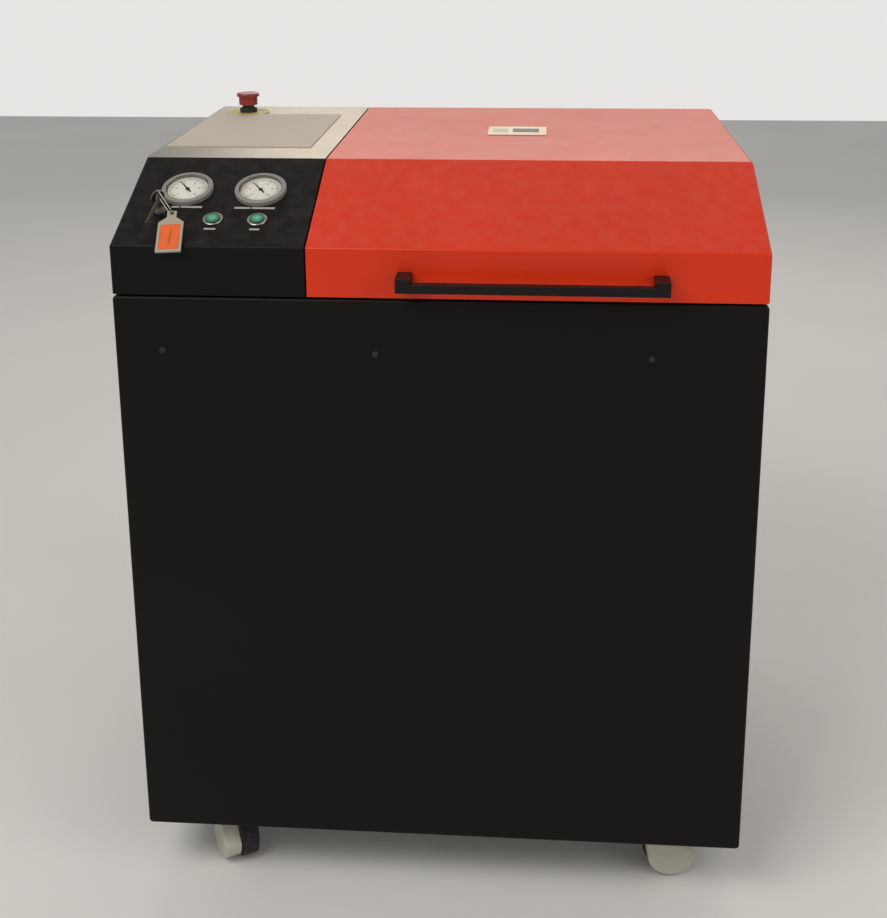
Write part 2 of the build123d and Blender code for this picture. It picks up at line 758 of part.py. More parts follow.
# Belt round both pulleys, as the hull of two circles less the hull inside it
belt_gap = 0.3
belt_thickness = 2
belt_width = 10
with BuildPart() as drive_belt:
    with BuildSketch(Plane.YZ.offset(pulley_x + (pulley_width - belt_width) / 2)):
        for extra, action in ((belt_gap + belt_thickness, Mode.ADD), (belt_gap, Mode.SUBTRACT)):
            with BuildSketch(mode=Mode.PRIVATE) as loop:
                with Locations((drum_y, drum_z)):
                    Circle(pulley_radius + extra)
                with Locations((motor_y, motor_z)):
                    Circle(motor_pulley_radius + extra)
                make_hull()
            add(loop.sketch, mode=action)
    extrude(amount=belt_width)
drive_belt.part.label = "drive_belt"
export_step(drive_belt.part, "parts/drive_belt.step")

# Beam and rail behind the drum
beam_left = left_bearing + 2
beam_right = right_bearing + bearing_width - 2
beam_length = beam_right - beam_left
rail_y = front_y + rail_setback
beam_top = head_bottom + beam_height
rail_top = beam_top + rail_height
with BuildPart() as rail_beam:
    with BuildSketch(Plane.YZ.offset(beam_left)):
        with Locations((rail_y, head_bottom + beam_height / 2)):
            Rectangle(beam_width, beam_height)
        with Locations((rail_y, beam_top + rail_height / 2)):
            Rectangle(rail_width, rail_height)
        for side in (-1, 1):
            with Locations((rail_y + side * rail_width / 2, beam_top + rail_height / 2)):
                Circle(rail_height / 6, mode=Mode.SUBTRACT)
    extrude(amount=beam_length)
rail_beam.part.label = "rail_beam"
export_step(rail_beam.part, "parts/rail_beam.step")

# Carriage: a table on a rail block, with the screw's nut hanging behind it
block_width = 34
table_thickness = 8
carriage_left = carriage_rest_x - carriage_width / 2
screw_y = front_y + screw_setback
screw_z = head_bottom + screw_lift
table_bottom = rail_top + 4
nut_size = 30
head_front_y = drum_y + drum_radius + 40
table_back_y = screw_y + nut_size / 2
with BuildPart() as laser_carriage:
    with BuildSketch(Plane.YZ.offset(carriage_left)):
        with Locations((rail_y, (beam_top + 2 + table_bottom) / 2)):
            Rectangle(block_width, table_bottom - beam_top - 2)
        with Locations((rail_y, rail_top - rail_height / 2 + seat_gap / 2)):
            Rectangle(rail_width + 2 * seat_gap, rail_height + seat_gap, mode=Mode.SUBTRACT)
        with Locations(((head_front_y + table_back_y) / 2, table_bottom + table_thickness / 2)):
            Rectangle(table_back_y - head_front_y, table_thickness)
    extrude(amount=carriage_width)
    with BuildSketch(Plane.YZ.offset(carriage_rest_x - nut_size / 2)):
        with Locations((screw_y, (screw_z - nut_size / 2 + 2 + table_bottom) / 2)):
            Rectangle(nut_size, table_bottom - screw_z + nut_size / 2 - 2)
        with Locations((screw_y, screw_z)):
            Circle(screw_radius + seat_gap, mode=Mode.SUBTRACT)
    extrude(amount=nut_size)
laser_carriage.part.label = "laser_carriage"
export_step(laser_carriage.part, "parts/laser_carriage.step")

# Laser head on the table, its lens barrel pointing at the drum's axis
head_width = 84
head_depth = 110
table_top = table_bottom + table_thickness
head_height = drum_z + 26 - table_top
barrel_radius_laser = 13
with BuildPart() as laser_head:
    with BuildSketch(Plane.XY.offset(table_top)):
        with Locations((carriage_rest_x, head_front_y + 6 + head_depth / 2)):
            RectangleRounded(head_width, head_depth, 5)
    extrude(amount=head_height)
    with BuildSketch(Plane.XZ.offset(-(head_front_y + 6))):
        with Locations((carriage_rest_x, drum_z + 6)):
            Circle(barrel_radius_laser)
    extrude(amount=30)
    with BuildSketch(Plane.XZ.offset(-(head_front_y - 24))):
        with Locations((carriage_rest_x, drum_z + 6)):
            Circle(barrel_radius_laser - 4)
    extrude(amount=-6, mode=Mode.SUBTRACT)
    fin_count = 8
    with BuildSketch(Plane.XY.offset(table_top + head_height)):
        with Locations((carriage_rest_x, head_front_y + 6 + head_depth / 2)):
            with GridLocations(0, 11, 1, fin_count):
                Rectangle(head_width - 16, 5)
    extrude(amount=-6, mode=Mode.SUBTRACT)
laser_head.part.label = "laser_head"
export_step(laser_head.part, "parts/laser_head.step")

# Lead screw along the beam, with its end blocks and motor
screw_left = beam_left
screw_block = 16
screw_motor_size = 42
screw_motor_length = 38
screw_gap = 0.5
with BuildPart() as lead_screw:
    with BuildSketch(Plane.YZ.offset(screw_left + 3)):
        with Locations((screw_y, screw_z)):
            Circle(screw_radius)
    extrude(amount=beam_length + 4)
lead_screw.part.label = "lead_screw"
export_step(lead_screw.part, "parts/lead_screw.step")

with BuildPart() as screw_mounts:
    for start in (screw_left, beam_right - screw_block):
        with BuildSketch(Plane.YZ.offset(start)):
            with Locations((screw_y, head_bottom + screw_lift)):
                Rectangle(screw_motor_size, 2 * screw_lift)
            with Locations((screw_y, screw_z)):
                Circle(screw_radius + running_gap, mode=Mode.SUBTRACT)
        extrude(amount=screw_block)
    with BuildSketch(Plane.YZ.offset(beam_right)):
        with Locations((screw_y, screw_z)):
            RectangleRounded(screw_motor_size, 2 * screw_lift, 4)
    extrude(amount=screw_motor_length)
    with BuildSketch(Plane.YZ.offset(beam_right)):
        with Locations((screw_y, screw_z)):
            Circle(screw_radius + screw_gap)
    extrude(amount=12, mode=Mode.SUBTRACT)
screw_mounts.part.label = "screw_mounts"
export_step(screw_mounts.part, "parts/screw_mounts.step")

# Gauges: a case through the panel, a dial, a needle and a lens under the bezel
dial_seat = 1
dial_thickness = 1
lens_seat = 5
lens_thickness = 1.4
seat_step = 1
with BuildPart() as gauge_cases:
    for x in gauge_x:
        with BuildSketch(slope_at(x, gauge_s, -gauge_depth)):
            Circle(gauge_case_radius)
        extrude(amount=gauge_depth)
        with BuildSketch(slope_at(x, gauge_s)):
            Circle(gauge_radius)
        extrude(amount=gauge_rise)
    rims = gauge_cases.faces().filter_by(slope_plane).group_by(
        Axis(slope_plane.origin, slope_plane.z_dir))[-1]
    fillet(rims.edges(), crease_radius / 2)
    for x in gauge_x:
        with BuildSketch(slope_at(x, gauge_s, dial_seat)):
            Circle(gauge_case_radius - seat_step)
        extrude(amount=gauge_rise, mode=Mode.SUBTRACT)
        with BuildSketch(slope_at(x, gauge_s, lens_seat)):
            Circle(gauge_case_radius)
        extrude(amount=gauge_rise, mode=Mode.SUBTRACT)
gauge_cases.part.label = "gauge_cases"
export_step(gauge_cases.part, "parts/gauge_cases.step")

with BuildPart() as gauge_dials:
    for x in gauge_x:
        with BuildSketch(slope_at(x, gauge_s, dial_seat)):
            Circle(gauge_case_radius - seat_step - seat_gap)
        extrude(amount=dial_thickness)
gauge_dials.part.label = "gauge_dials"
export_step(gauge_dials.part, "parts/gauge_dials.step")

with BuildPart() as gauge_lenses:
    for x in gauge_x:
        with BuildSketch(slope_at(x, gauge_s, lens_seat)):
            Circle(gauge_case_radius - seat_gap)
        extrude(amount=lens_thickness)
gauge_lenses.part.label = "gauge_lenses"
export_step(gauge_lenses.part, "parts/gauge_lenses.step")

needle_length = 22
needle_tail = 9
needle_width = 2.4
hub_radius = 3
needle_lift = dial_seat + dial_thickness + 0.6
for x, turn, name in zip(gauge_x, needle_turn, ("left_needle", "right_needle")):
    with BuildPart() as needle:
        with BuildSketch(slope_at(x, gauge_s, needle_lift, turn)):
            Polygon((-needle_width / 2, -needle_tail), (needle_width / 2, -needle_tail),
                    (0.3, needle_length), (-0.3, needle_length), align=None)
            Circle(hub_radius)
        extrude(amount=0.8)
        with BuildSketch(slope_at(x, gauge_s, needle_lift - 0.5, turn)):
            Circle(hub_radius / 2)
        extrude(amount=2)
    needle.part.label = name
    export_step(needle.part, f"parts/{name}.step")

# Push buttons: a flanged bezel with its barrel through the panel, and a sliding cap
barrel_depth = 24
barrel_bore = 9.3
with BuildPart() as button_bezels:
    for x in button_x:
        with BuildSketch(slope_at(x, button_s)):
            Circle(bezel_radius)
        extrude(amount=bezel_rise)
    flange_tops = button_bezels.faces().filter_by(slope_plane).group_by(
        Axis(slope_plane.origin, slope_plane.z_dir))[-1]
    fillet(flange_tops.edges(), edge_radius)
    for x in button_x:
        with BuildSketch(slope_at(x, button_s)):
            Circle(barrel_radius)
        extrude(amount=-barrel_depth)
        with BuildSketch(slope_at(x, button_s)):
            Circle(cap_radius + seat_gap)
        extrude(amount=2 * bezel_rise, mode=Mode.SUBTRACT)
        with BuildSketch(slope_at(x, button_s, 1)):
            Circle(barrel_bore)
        extrude(amount=-barrel_depth + 2, mode=Mode.SUBTRACT)
button_bezels.part.label = "button_bezels"
export_step(button_bezels.part, "parts/button_bezels.step")

cap_bottom = button_travel + 0.2
for x, name in zip(button_x, ("left_button", "right_button")):
    with BuildPart() as button_cap:
        with BuildSketch(slope_at(x, button_s, cap_bottom)):
            Circle(cap_radius)
        extrude(amount=cap_rise - cap_bottom)
        fillet(button_cap.edges().group_by(Axis(slope_plane.origin, slope_plane.z_dir))[-1], 0.8)
        with BuildSketch(slope_at(x, button_s, cap_bottom)):
            Circle(barrel_bore - seat_gap)
        extrude(amount=-12)
    button_cap.part.label = name
    export_step(button_cap.part, f"parts/{name}.step")

# Key switch: a flanged barrel with a round plug that turns with the key
with BuildPart() as key_lock:
    with BuildSketch(slope_at(key_x, key_s)):
        Circle(lock_radius)
    extrude(amount=lock_rise, taper=8)
    with BuildSketch(slope_at(key_x, key_s)):
        Circle(lock_radius - 2)
    extrude(amount=-lock_depth)
    with BuildSketch(slope_at(key_x, key_s, lock_rise)):
        Circle(plug_radius + seat_gap)
    extrude(amount=1 - lock_rise, mode=Mode.SUBTRACT)
key_lock.part.label = "key_lock"
export_step(key_lock.part, "parts/key_lock.step")

# The key stands in the lock with its bow turned towards the tag
key_frame = slope_at(key_x, key_s, 0, key_turn)
bow_plane = Plane(origin=key_frame.from_local_coords((0, key_thickness / 2, 0)),
                  x_dir=key_frame.x_dir, z_dir=-key_frame.y_dir)
with BuildPart() as key:
    with BuildSketch(key_frame.offset(1 + seat_gap)):
        Circle(plug_radius)
    extrude(amount=lock_rise - 1)
    with BuildSketch(bow_plane):
        with Locations((0, (lock_rise + key_hole_lift) / 2)):
            Rectangle(key_neck, key_hole_lift - lock_rise)
        with Locations((0, key_hole_lift - 4)):
            Circle(bow_radius)
        with Locations((0, key_hole_lift)):
            Circle(key_hole, mode=Mode.SUBTRACT)
    extrude(amount=key_thickness)
key.part.label = "key"
export_step(key.part, "parts/key.step")

# Wire loop joining the key to the tag, with a spare key hanging on it
loop_far = (-tag_reach, tag_hang_lift)
loop_tilt = math.degrees(math.atan2(key_hole_lift + loop_bend - tag_hang_lift, tag_reach))
loop_span = tag_reach + 4
loop_corner = key_frame.from_local_coords((0, *loop_far))
loop_plane = Plane(origin=loop_corner,
                   x_dir=key_frame.y_dir.rotate(Axis((0, 0, 0), key_frame.x_dir), loop_tilt),
                   z_dir=key_frame.x_dir)
spare_top = loop_plane.from_local_coords((loop_span - 9, -loop_bend, 0))
spare_line = spare_top - slope_plane.from_local_coords((spare_foot_x, spare_foot_s, 3.2))
spare_plane = Plane(origin=spare_top, x_dir=spare_line,
                    z_dir=key_frame.y_dir.cross(spare_line).cross(spare_line))
with BuildPart() as key_ring:
    with BuildLine(loop_plane):
        Line((loop_bend, loop_bend), (loop_span - loop_bend, loop_bend))
        ThreePointArc((loop_span - loop_bend, loop_bend), (loop_span, 0),
                      (loop_span - loop_bend, -loop_bend))
        Line((loop_span - loop_bend, -loop_bend), (loop_bend, -loop_bend))
        ThreePointArc((loop_bend, -loop_bend), (0, 0), (loop_bend, loop_bend))
    with BuildSketch(Plane(origin=loop_plane.from_local_coords((loop_bend, loop_bend, 0)),
                           z_dir=loop_plane.x_dir)):
        Circle(loop_wire)
    sweep()
    with BuildSketch(spare_plane.offset(-spare_thickness / 2)):
        Circle(spare_bow)
        with Locations((-spare_length / 2, 0)):
            Rectangle(spare_length, spare_width)
        Circle(key_hole, mode=Mode.SUBTRACT)
        for index in range(3):
            with Locations((-spare_length + 4 + 5 * index, spare_width / 2)):
                Rectangle(2.2, 2.2, mode=Mode.SUBTRACT)
    extrude(amount=spare_thickness)
key_ring.part.label = "key_ring"
export_step(key_ring.part, "parts/key_ring.step")

# Key tag, leaning from the loop to the crease of the panel, with a card set in its face
tag_hole = loop_corner
tag_foot = slope_plane.from_local_coords((tag_foot_x, tag_foot_s, tag_foot_lift))
tag_up = tag_hole - tag_foot
tag_across = tag_up.cross(slope_plane.z_dir)
tag_plane = Plane(origin=tag_hole, x_dir=tag_across, z_dir=tag_across.cross(tag_up))
tag_bottom = -tag_up.length
with BuildPart() as key_tag:
    with BuildSketch(tag_plane.offset(-tag_thickness / 2)):
        with BuildLine():
            Polyline((-tag_neck / 2, 5), (tag_neck / 2, 5), (tag_neck / 2, -6),
                     (tag_width / 2, tag_bottom + tag_body), (tag_width / 2, tag_bottom),
                     (-tag_width / 2, tag_bottom), (-tag_width / 2, tag_bottom + tag_body),
                     (-tag_neck / 2, -6), close=True)
        make_face()
        with Locations((0, tag_eye_shift)):
            Circle(tag_eye_radius, mode=Mode.SUBTRACT)
    extrude(amount=tag_thickness)
    with BuildSketch(tag_plane.offset(tag_thickness / 2)):
        with Locations((0, tag_bottom + tag_body / 2)):
            RectangleRounded(card_width, card_length, 2)
    extrude(amount=-card_thickness, mode=Mode.SUBTRACT)
key_tag.part.label = "key_tag"
export_step(key_tag.part, "parts/key_tag.step")

with BuildPart() as tag_card:
    with BuildSketch(tag_plane.offset(tag_thickness / 2 - card_thickness)):
        with Locations((0, tag_bottom + tag_body / 2)):
            RectangleRounded(card_width - 2 * seat_gap, card_length - 2 * seat_gap, 2)
    extrude(amount=card_thickness)
tag_card.part.label = "tag_card"
export_step(tag_card.part, "parts/tag_card.step")

# Stop button: a round legend plate, a collar, a pressed stem and a mushroom head
stop_y = front_y + stop_setback
stop_disc = 1.5
collar_top = 9.5
stem_bottom = stop_disc + stop_travel + 0.5
head_foot = 15
head_cap = 30
head_top = 36
with BuildPart() as stop_plate:
    with BuildSketch(Plane.XY.offset(top_z)):
        with Locations((stop_x, stop_y)):
            Circle(stop_disc_radius)
    extrude(amount=stop_disc)
stop_plate.part.label = "stop_plate"
export_step(stop_plate.part, "parts/stop_plate.step")

with BuildPart() as stop_collar:
    with BuildSketch(Plane.XY.offset(top_z + stop_disc)):
        with Locations((stop_x, stop_y)):
            Circle(stop_neck_radius + collar_wall)
            Circle(stop_neck_radius + seat_gap, mode=Mode.SUBTRACT)
    extrude(amount=collar_top - stop_disc)
    fillet(stop_collar.faces().sort_by(Axis.Z)[-1].edges().sort_by(SortBy.RADIUS)[-1],
           crease_radius / 2)
stop_collar.part.label = "stop_collar"
export_step(stop_collar.part, "parts/stop_collar.step")

with BuildPart() as stop_stem:
    with BuildSketch(Plane.XY.offset(top_z + stem_bottom)):
        with Locations((stop_x, stop_y)):
            Circle(stop_neck_radius)
    extrude(amount=head_foot - stem_bottom)
stop_stem.part.label = "stop_stem"
export_step(stop_stem.part, "parts/stop_stem.step")

with BuildPart() as stop_head:
    with BuildSketch(Plane.XY.offset(top_z + head_foot)):
        with Locations((stop_x, stop_y)):
            Circle(stop_head_radius)
    extrude(amount=head_cap - head_foot)
    with BuildSketch(Plane.XY.offset(top_z + head_cap)):
        with Locations((stop_x, stop_y)):
            Circle(stop_cap_radius)
    extrude(amount=head_top - head_cap)
    fillet(stop_head.faces().sort_by(Axis.Z)[-1].edges(), 2.5)
stop_head.part.label = "stop_head"
export_step(stop_head.part, "parts/stop_head.step")

# Vacuum pump on the base plate: a finned motor, a pump head and two feet
pump_x = -200
pump_y = frame_centre_y - 60
pump_radius = 75
pump_length = 190
pump_axis_z = frame_bottom + 100
with BuildPart() as vacuum_pump:
    with BuildSketch(Plane.YZ.offset(pump_x)):
        with Locations((pump_y, pump_axis_z)):
            Circle(pump_radius)
            with PolarLocations(pump_radius, 12):
                Rectangle(12, 4)
    extrude(amount=pump_length)
    with BuildSketch(Plane.YZ.offset(pump_x - 110)):
        with Locations((pump_y, pump_axis_z)):
            RectangleRounded(130, 150, 20)
    extrude(amount=110)
    with BuildSketch(Plane.YZ.offset(pump_x + 20)):
        with Locations((pump_y, (frame_bottom + pump_axis_z) / 2)):
            Rectangle(120, pump_axis_z - frame_bottom)
    extrude(amount=pump_length - 60)
vacuum_pump.part.label = "vacuum_pump"
export_step(vacuum_pump.part, "parts/vacuum_pump.step")

# Control box on the base plate, with a finned heat sink on its side
control_x = 210
control_width = 200
control_depth = 320
control_height = 420
with BuildPart() as control_box:
    with BuildSketch(Plane.XY.offset(frame_bottom)):
        with Locations((control_x, frame_centre_y)):
            RectangleRounded(control_width, control_depth, 4)
    extrude(amount=control_height)
    with BuildSketch(Plane.XY.offset(frame_bottom + control_height - 200)):
        with Locations((control_x - control_width / 2 - 15, frame_centre_y)):
            with GridLocations(0, 24, 1, 8):
                Rectangle(30, 4)
    extrude(amount=160)
control_box.part.label = "control_box"
export_step(control_box.part, "parts/control_box.step")

# Casters: bolted plates with kingpins, swivelling forks, wheels and brake pedals
caster_spots = {
    "front_left": (-1, -1, -60),
    "front_right": (1, -1, 5),
    "rear_left": (-1, 1, 150),
    "rear_right": (1, 1, 20),
}
plate_bottom = caster_height - plate_thickness
wheel_radius = wheel_diameter / 2
cup_radius = 22
cup_depth = 4
kingpin_radius = 5
crown_radius = 22
crown_bottom = wheel_diameter + 3
crown_top = plate_bottom - cup_depth - clear_gap
leg_thickness = 3
leg_inner = wheel_width / 2 + 1.5
leg_half = 13
housing_radius = 36
housing_thickness = 26
pedal_pin_radius = 3
pedal_pin_x = -15
pedal_pin_z = 73
pedal_reach = 38
pedal_thickness = 6


def caster_plane(name, height):
    # The plane of one caster at a height, with its X axis towards the trailing wheel.
    side_x, side_y, yaw = caster_spots[name]
    x = side_x * (half_width - caster_inset_x)
    y = frame_centre_y + side_y * (cabinet_depth / 2 - caster_inset_y)
    return Plane(origin=(x, y, height)).rotated((0, 0, yaw))


def caster_side(name, across):
    # A vertical plane of one caster, facing along its axle, so that X is its trail.
    foot = caster_plane(name, 0)
    origin = foot.from_local_coords((0, across, 0))
    return Plane(origin=origin, x_dir=foot.x_dir, z_dir=-foot.y_dir)


with BuildPart() as caster_plates:
    for name in caster_spots:
        side_x, side_y, yaw = caster_spots[name]
        square = caster_plane(name, plate_bottom).rotated((0, 0, -yaw))
        with BuildSketch(square):
            RectangleRounded(84, 66, 6)
            with GridLocations(64, 46, 2, 2):
                Circle(4, mode=Mode.SUBTRACT)
        extrude(amount=plate_thickness)
        with BuildSketch(square):
            Circle(cup_radius)
        extrude(amount=-cup_depth)
        with BuildSketch(square):
            Circle(kingpin_radius)
        extrude(amount=-(plate_bottom - crown_bottom - clear_gap))
caster_plates.part.label = "caster_plates"
export_step(caster_plates.part, "parts/caster_plates.step")

for name in caster_spots:
    braked = name.startswith("front")
    leg_outer = leg_inner + leg_thickness
    with BuildPart() as caster_fork:
        with BuildSketch(caster_plane(name, crown_bottom)):
            Circle(crown_radius)
        extrude(amount=crown_top - crown_bottom)
        for across in (leg_outer, -leg_inner):
            with BuildSketch(caster_side(name, across)):
                with BuildLine():
                    Polyline((caster_trail - leg_half, wheel_radius),
                             (-crown_radius, pedal_pin_z - 6), (-crown_radius, crown_top),
                             (crown_radius, crown_top),
                             (caster_trail + leg_half, wheel_radius))
                    ThreePointArc((caster_trail + leg_half, wheel_radius),
                                  (caster_trail, wheel_radius - leg_half),
                                  (caster_trail - leg_half, wheel_radius))
                make_face()
            extrude(amount=leg_thickness)
        with BuildSketch(caster_side(name, leg_outer)):
            with Locations((caster_trail, wheel_radius)):
                Circle(axle_radius)
        extrude(amount=2 * leg_outer)
        with BuildSketch(caster_side(name, leg_outer + leg_thickness)):
            with Locations((caster_trail, wheel_radius)):
                RegularPolygon(axle_radius + leg_thickness, 6)
        extrude(amount=leg_thickness)
        if braked:
            with BuildSketch(caster_side(name, -leg_inner)):
                with BuildLine():
                    Polyline((caster_trail - housing_radius, wheel_radius),
                             (-crown_radius, crown_bottom), (crown_radius, crown_bottom),
                             (caster_trail + housing_radius, wheel_radius))
                    ThreePointArc((caster_trail + housing_radius, wheel_radius),
                                  (caster_trail, wheel_radius - housing_radius),
                                  (caster_trail - housing_radius, wheel_radius))
                make_face()
            extrude(amount=housing_thickness)
            outward = Axis((0, 0, 0), caster_side(name, 0).z_dir)
            fillet(caster_fork.faces().sort_by(outward)[-1].edges(), crease_radius)
            with BuildSketch(caster_side(name, leg_inner)):
                with Locations((pedal_pin_x, pedal_pin_z)):
                    Circle(pedal_pin_radius)
            extrude(amount=2 * leg_inner)
        with BuildSketch(caster_plane(name, crown_top)):
            Circle(kingpin_radius + running_gap)
        extrude(amount=-2 * (crown_top - crown_bottom), mode=Mode.SUBTRACT)
    fork_name = f"{name}_fork"
    caster_fork.part.label = fork_name
    export_step(caster_fork.part, f"parts/{fork_name}.step")

    with BuildPart() as wheel:
        with BuildSketch(caster_side(name, wheel_width / 2)):
            with Locations((caster_trail, wheel_radius)):
                Circle(wheel_radius)
        extrude(amount=wheel_width)
        chamfer(wheel.edges().filter_by(GeomType.CIRCLE), 2, 5)
        for across, depth in ((wheel_width / 2, 5), (-wheel_width / 2, -5)):
            with BuildSketch(caster_side(name, across)):
                with Locations((caster_trail, wheel_radius)):
                    Circle(wheel_radius - 10)
                    Circle(11, mode=Mode.SUBTRACT)
            extrude(amount=depth, mode=Mode.SUBTRACT)
        with BuildSketch(caster_side(name, wheel_width)):
            with Locations((caster_trail, wheel_radius)):
                Circle(axle_radius + running_gap)
        extrude(amount=2 * wheel_width, mode=Mode.SUBTRACT)
    wheel_name = f"{name}_wheel"
    wheel.part.label = wheel_name
    export_step(wheel.part, f"parts/{wheel_name}.step")

    if braked:
        with BuildPart() as brake_pedal:
            with BuildSketch(caster_side(name, leg_inner - clear_gap)):
                with Locations((pedal_pin_x, pedal_pin_z)):
                    Circle(pedal_pin_radius + leg_thickness)
                with Locations((pedal_pin_x - pedal_reach / 2, pedal_pin_z)):
                    Rectangle(pedal_reach, pedal_thickness)
                with Locations((pedal_pin_x, pedal_pin_z)):
                    Circle(pedal_pin_radius + running_gap, mode=Mode.SUBTRACT)
            extrude(amount=2 * (leg_inner - clear_gap))
            toe = Axis((0, 0, 0), -caster_plane(name, 0).x_dir)
            fillet(brake_pedal.faces().sort_by(toe)[-1].edges(), pedal_thickness / 3)
        pedal_name = f"{name}_pedal"
        brake_pedal.part.label = pedal_name
        export_step(brake_pedal.part, f"parts/{pedal_name}.step")
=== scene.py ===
import json
import math
import bpy
import numpy as np
from mathutils import Matrix, Vector


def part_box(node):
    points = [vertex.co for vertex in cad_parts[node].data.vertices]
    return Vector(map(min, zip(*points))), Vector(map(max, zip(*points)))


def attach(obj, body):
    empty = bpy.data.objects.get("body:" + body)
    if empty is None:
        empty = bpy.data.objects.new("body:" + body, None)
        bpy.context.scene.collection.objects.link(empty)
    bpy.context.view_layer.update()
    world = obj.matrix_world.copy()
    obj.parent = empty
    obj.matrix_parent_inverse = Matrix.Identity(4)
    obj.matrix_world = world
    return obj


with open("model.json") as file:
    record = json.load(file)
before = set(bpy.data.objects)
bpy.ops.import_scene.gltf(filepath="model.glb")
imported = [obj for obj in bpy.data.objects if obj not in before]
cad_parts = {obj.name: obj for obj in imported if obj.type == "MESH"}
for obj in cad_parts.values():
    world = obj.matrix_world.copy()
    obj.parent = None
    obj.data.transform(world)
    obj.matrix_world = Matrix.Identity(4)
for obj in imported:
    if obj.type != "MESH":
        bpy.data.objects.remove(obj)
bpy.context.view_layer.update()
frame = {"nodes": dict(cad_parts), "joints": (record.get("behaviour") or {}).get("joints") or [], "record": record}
nodes = frame["nodes"]
print("frame loaded", len(nodes), "nodes")

# A few points read from the CAD boxes, so the details follow the part


def low(node):
    return np.array(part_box(node)[0])


def high(node):
    return np.array(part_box(node)[1])


def middle(node):
    return (low(node) + high(node)) / 2


frontY = low("front_cover")[1]
backY = high("rear_cover")[1]
deckZ = low("console_shell")[2]
topZ = high("console_top")[2]
slopeBack = low("console_top")[1]
creaseZ = topZ - 0.085
slopeRun = slopeBack - frontY
slopeUp = np.array([0, slopeRun, topZ - creaseZ])
slopeUp = slopeUp / np.linalg.norm(slopeUp)
slopeOut = np.array([0, -slopeUp[2], slopeUp[1]])


def onSlope(x, s, lift=0.0):
    return np.array([x, frontY, creaseZ]) + slopeUp * s + slopeOut * lift


def linear(r, g, b):
    # sRGB 0-255 to linear colour
    out = []
    for c in (r, g, b):
        c = c / 255
        out.append(c / 12.92 if c < 0.04045 else ((c + 0.055) / 1.055) ** 2.4)
    return (*out, 1.0)


# Materials

class Tree:
    def __init__(self, name):
        self.material = bpy.data.materials.new(name)
        self.material.use_nodes = True
        self.tree = self.material.node_tree
        self.shader = next(n for n in self.tree.nodes if n.type == "BSDF_PRINCIPLED")
        self.coords = self.add("ShaderNodeTexCoord").outputs["Object"]

    def add(self, kind, **values):
        node = self.tree.nodes.new(kind)
        for key, value in values.items():
            setattr(node, key, value)
        return node

    def link(self, a, b):
        self.tree.links.new(a, b)

    def scaled(self, vector, scale):
        node = self.add("ShaderNodeMapping")
        node.inputs["Scale"].default_value = scale
        self.link(vector, node.inputs["Vector"])
        return node.outputs["Vector"]

    def noise(self, scale, detail=3.0, rough=0.5, vector=None):
        node = self.add("ShaderNodeTexNoise")
        node.inputs["Scale"].default_value = scale
        node.inputs["Detail"].default_value = detail
        node.inputs["Roughness"].default_value = rough
        self.link(vector or self.coords, node.inputs["Vector"])
        return node.outputs[0]

    def ranged(self, value, fromLow, fromHigh, toLow, toHigh):
        node = self.add("ShaderNodeMapRange")
        for key, number in zip(("From Min", "From Max", "To Min", "To Max"),
                               (fromLow, fromHigh, toLow, toHigh)):
            node.inputs[key].default_value = number
        self.link(value, node.inputs["Value"])
        return node.outputs[0]

    def math(self, operation, a, b):
        node = self.add("ShaderNodeMath", operation=operation)
        for socket, value in zip(node.inputs, (a, b)):
            if isinstance(value, (int, float)):
                socket.default_value = value
            else:
                self.link(value, socket)
        return node.outputs[0]

    def mixed(self, factor, a, b):
        node = self.add("ShaderNodeMix", data_type="RGBA")
        self.link(factor, node.inputs[0])
        for socket, value in ((node.inputs[6], a), (node.inputs[7], b)):
            if isinstance(value, tuple):
                socket.default_value = value
            else:
                self.link(value, socket)
        return node.outputs[2]

    def distance(self, centre, axis=None):
        # how far a point is from a centre, or from the line through it along an axis
        node = self.add("ShaderNodeVectorMath", operation="SUBTRACT")
        self.link(self.coords, node.inputs[0])
        node.inputs[1].default_value = tuple(centre)
        vector = node.outputs[0]
        if axis is not None:
            cross = self.add("ShaderNodeVectorMath", operation="CROSS_PRODUCT")
            self.link(vector, cross.inputs[0])
            cross.inputs[1].default_value = tuple(axis)
            vector = cross.outputs[0]
        length = self.add("ShaderNodeVectorMath", operation="LENGTH")
        self.link(vector, length.inputs[0])
        return length.outputs["Value"]

    def bumped(self, height, strength, depth):
        node = self.add("ShaderNodeBump")
        node.inputs["Strength"].default_value = strength
        node.inputs["Distance"].default_value = depth
        self.link(height, node.inputs["Height"])
        self.link(node.outputs["Normal"], self.shader.inputs["Normal"])


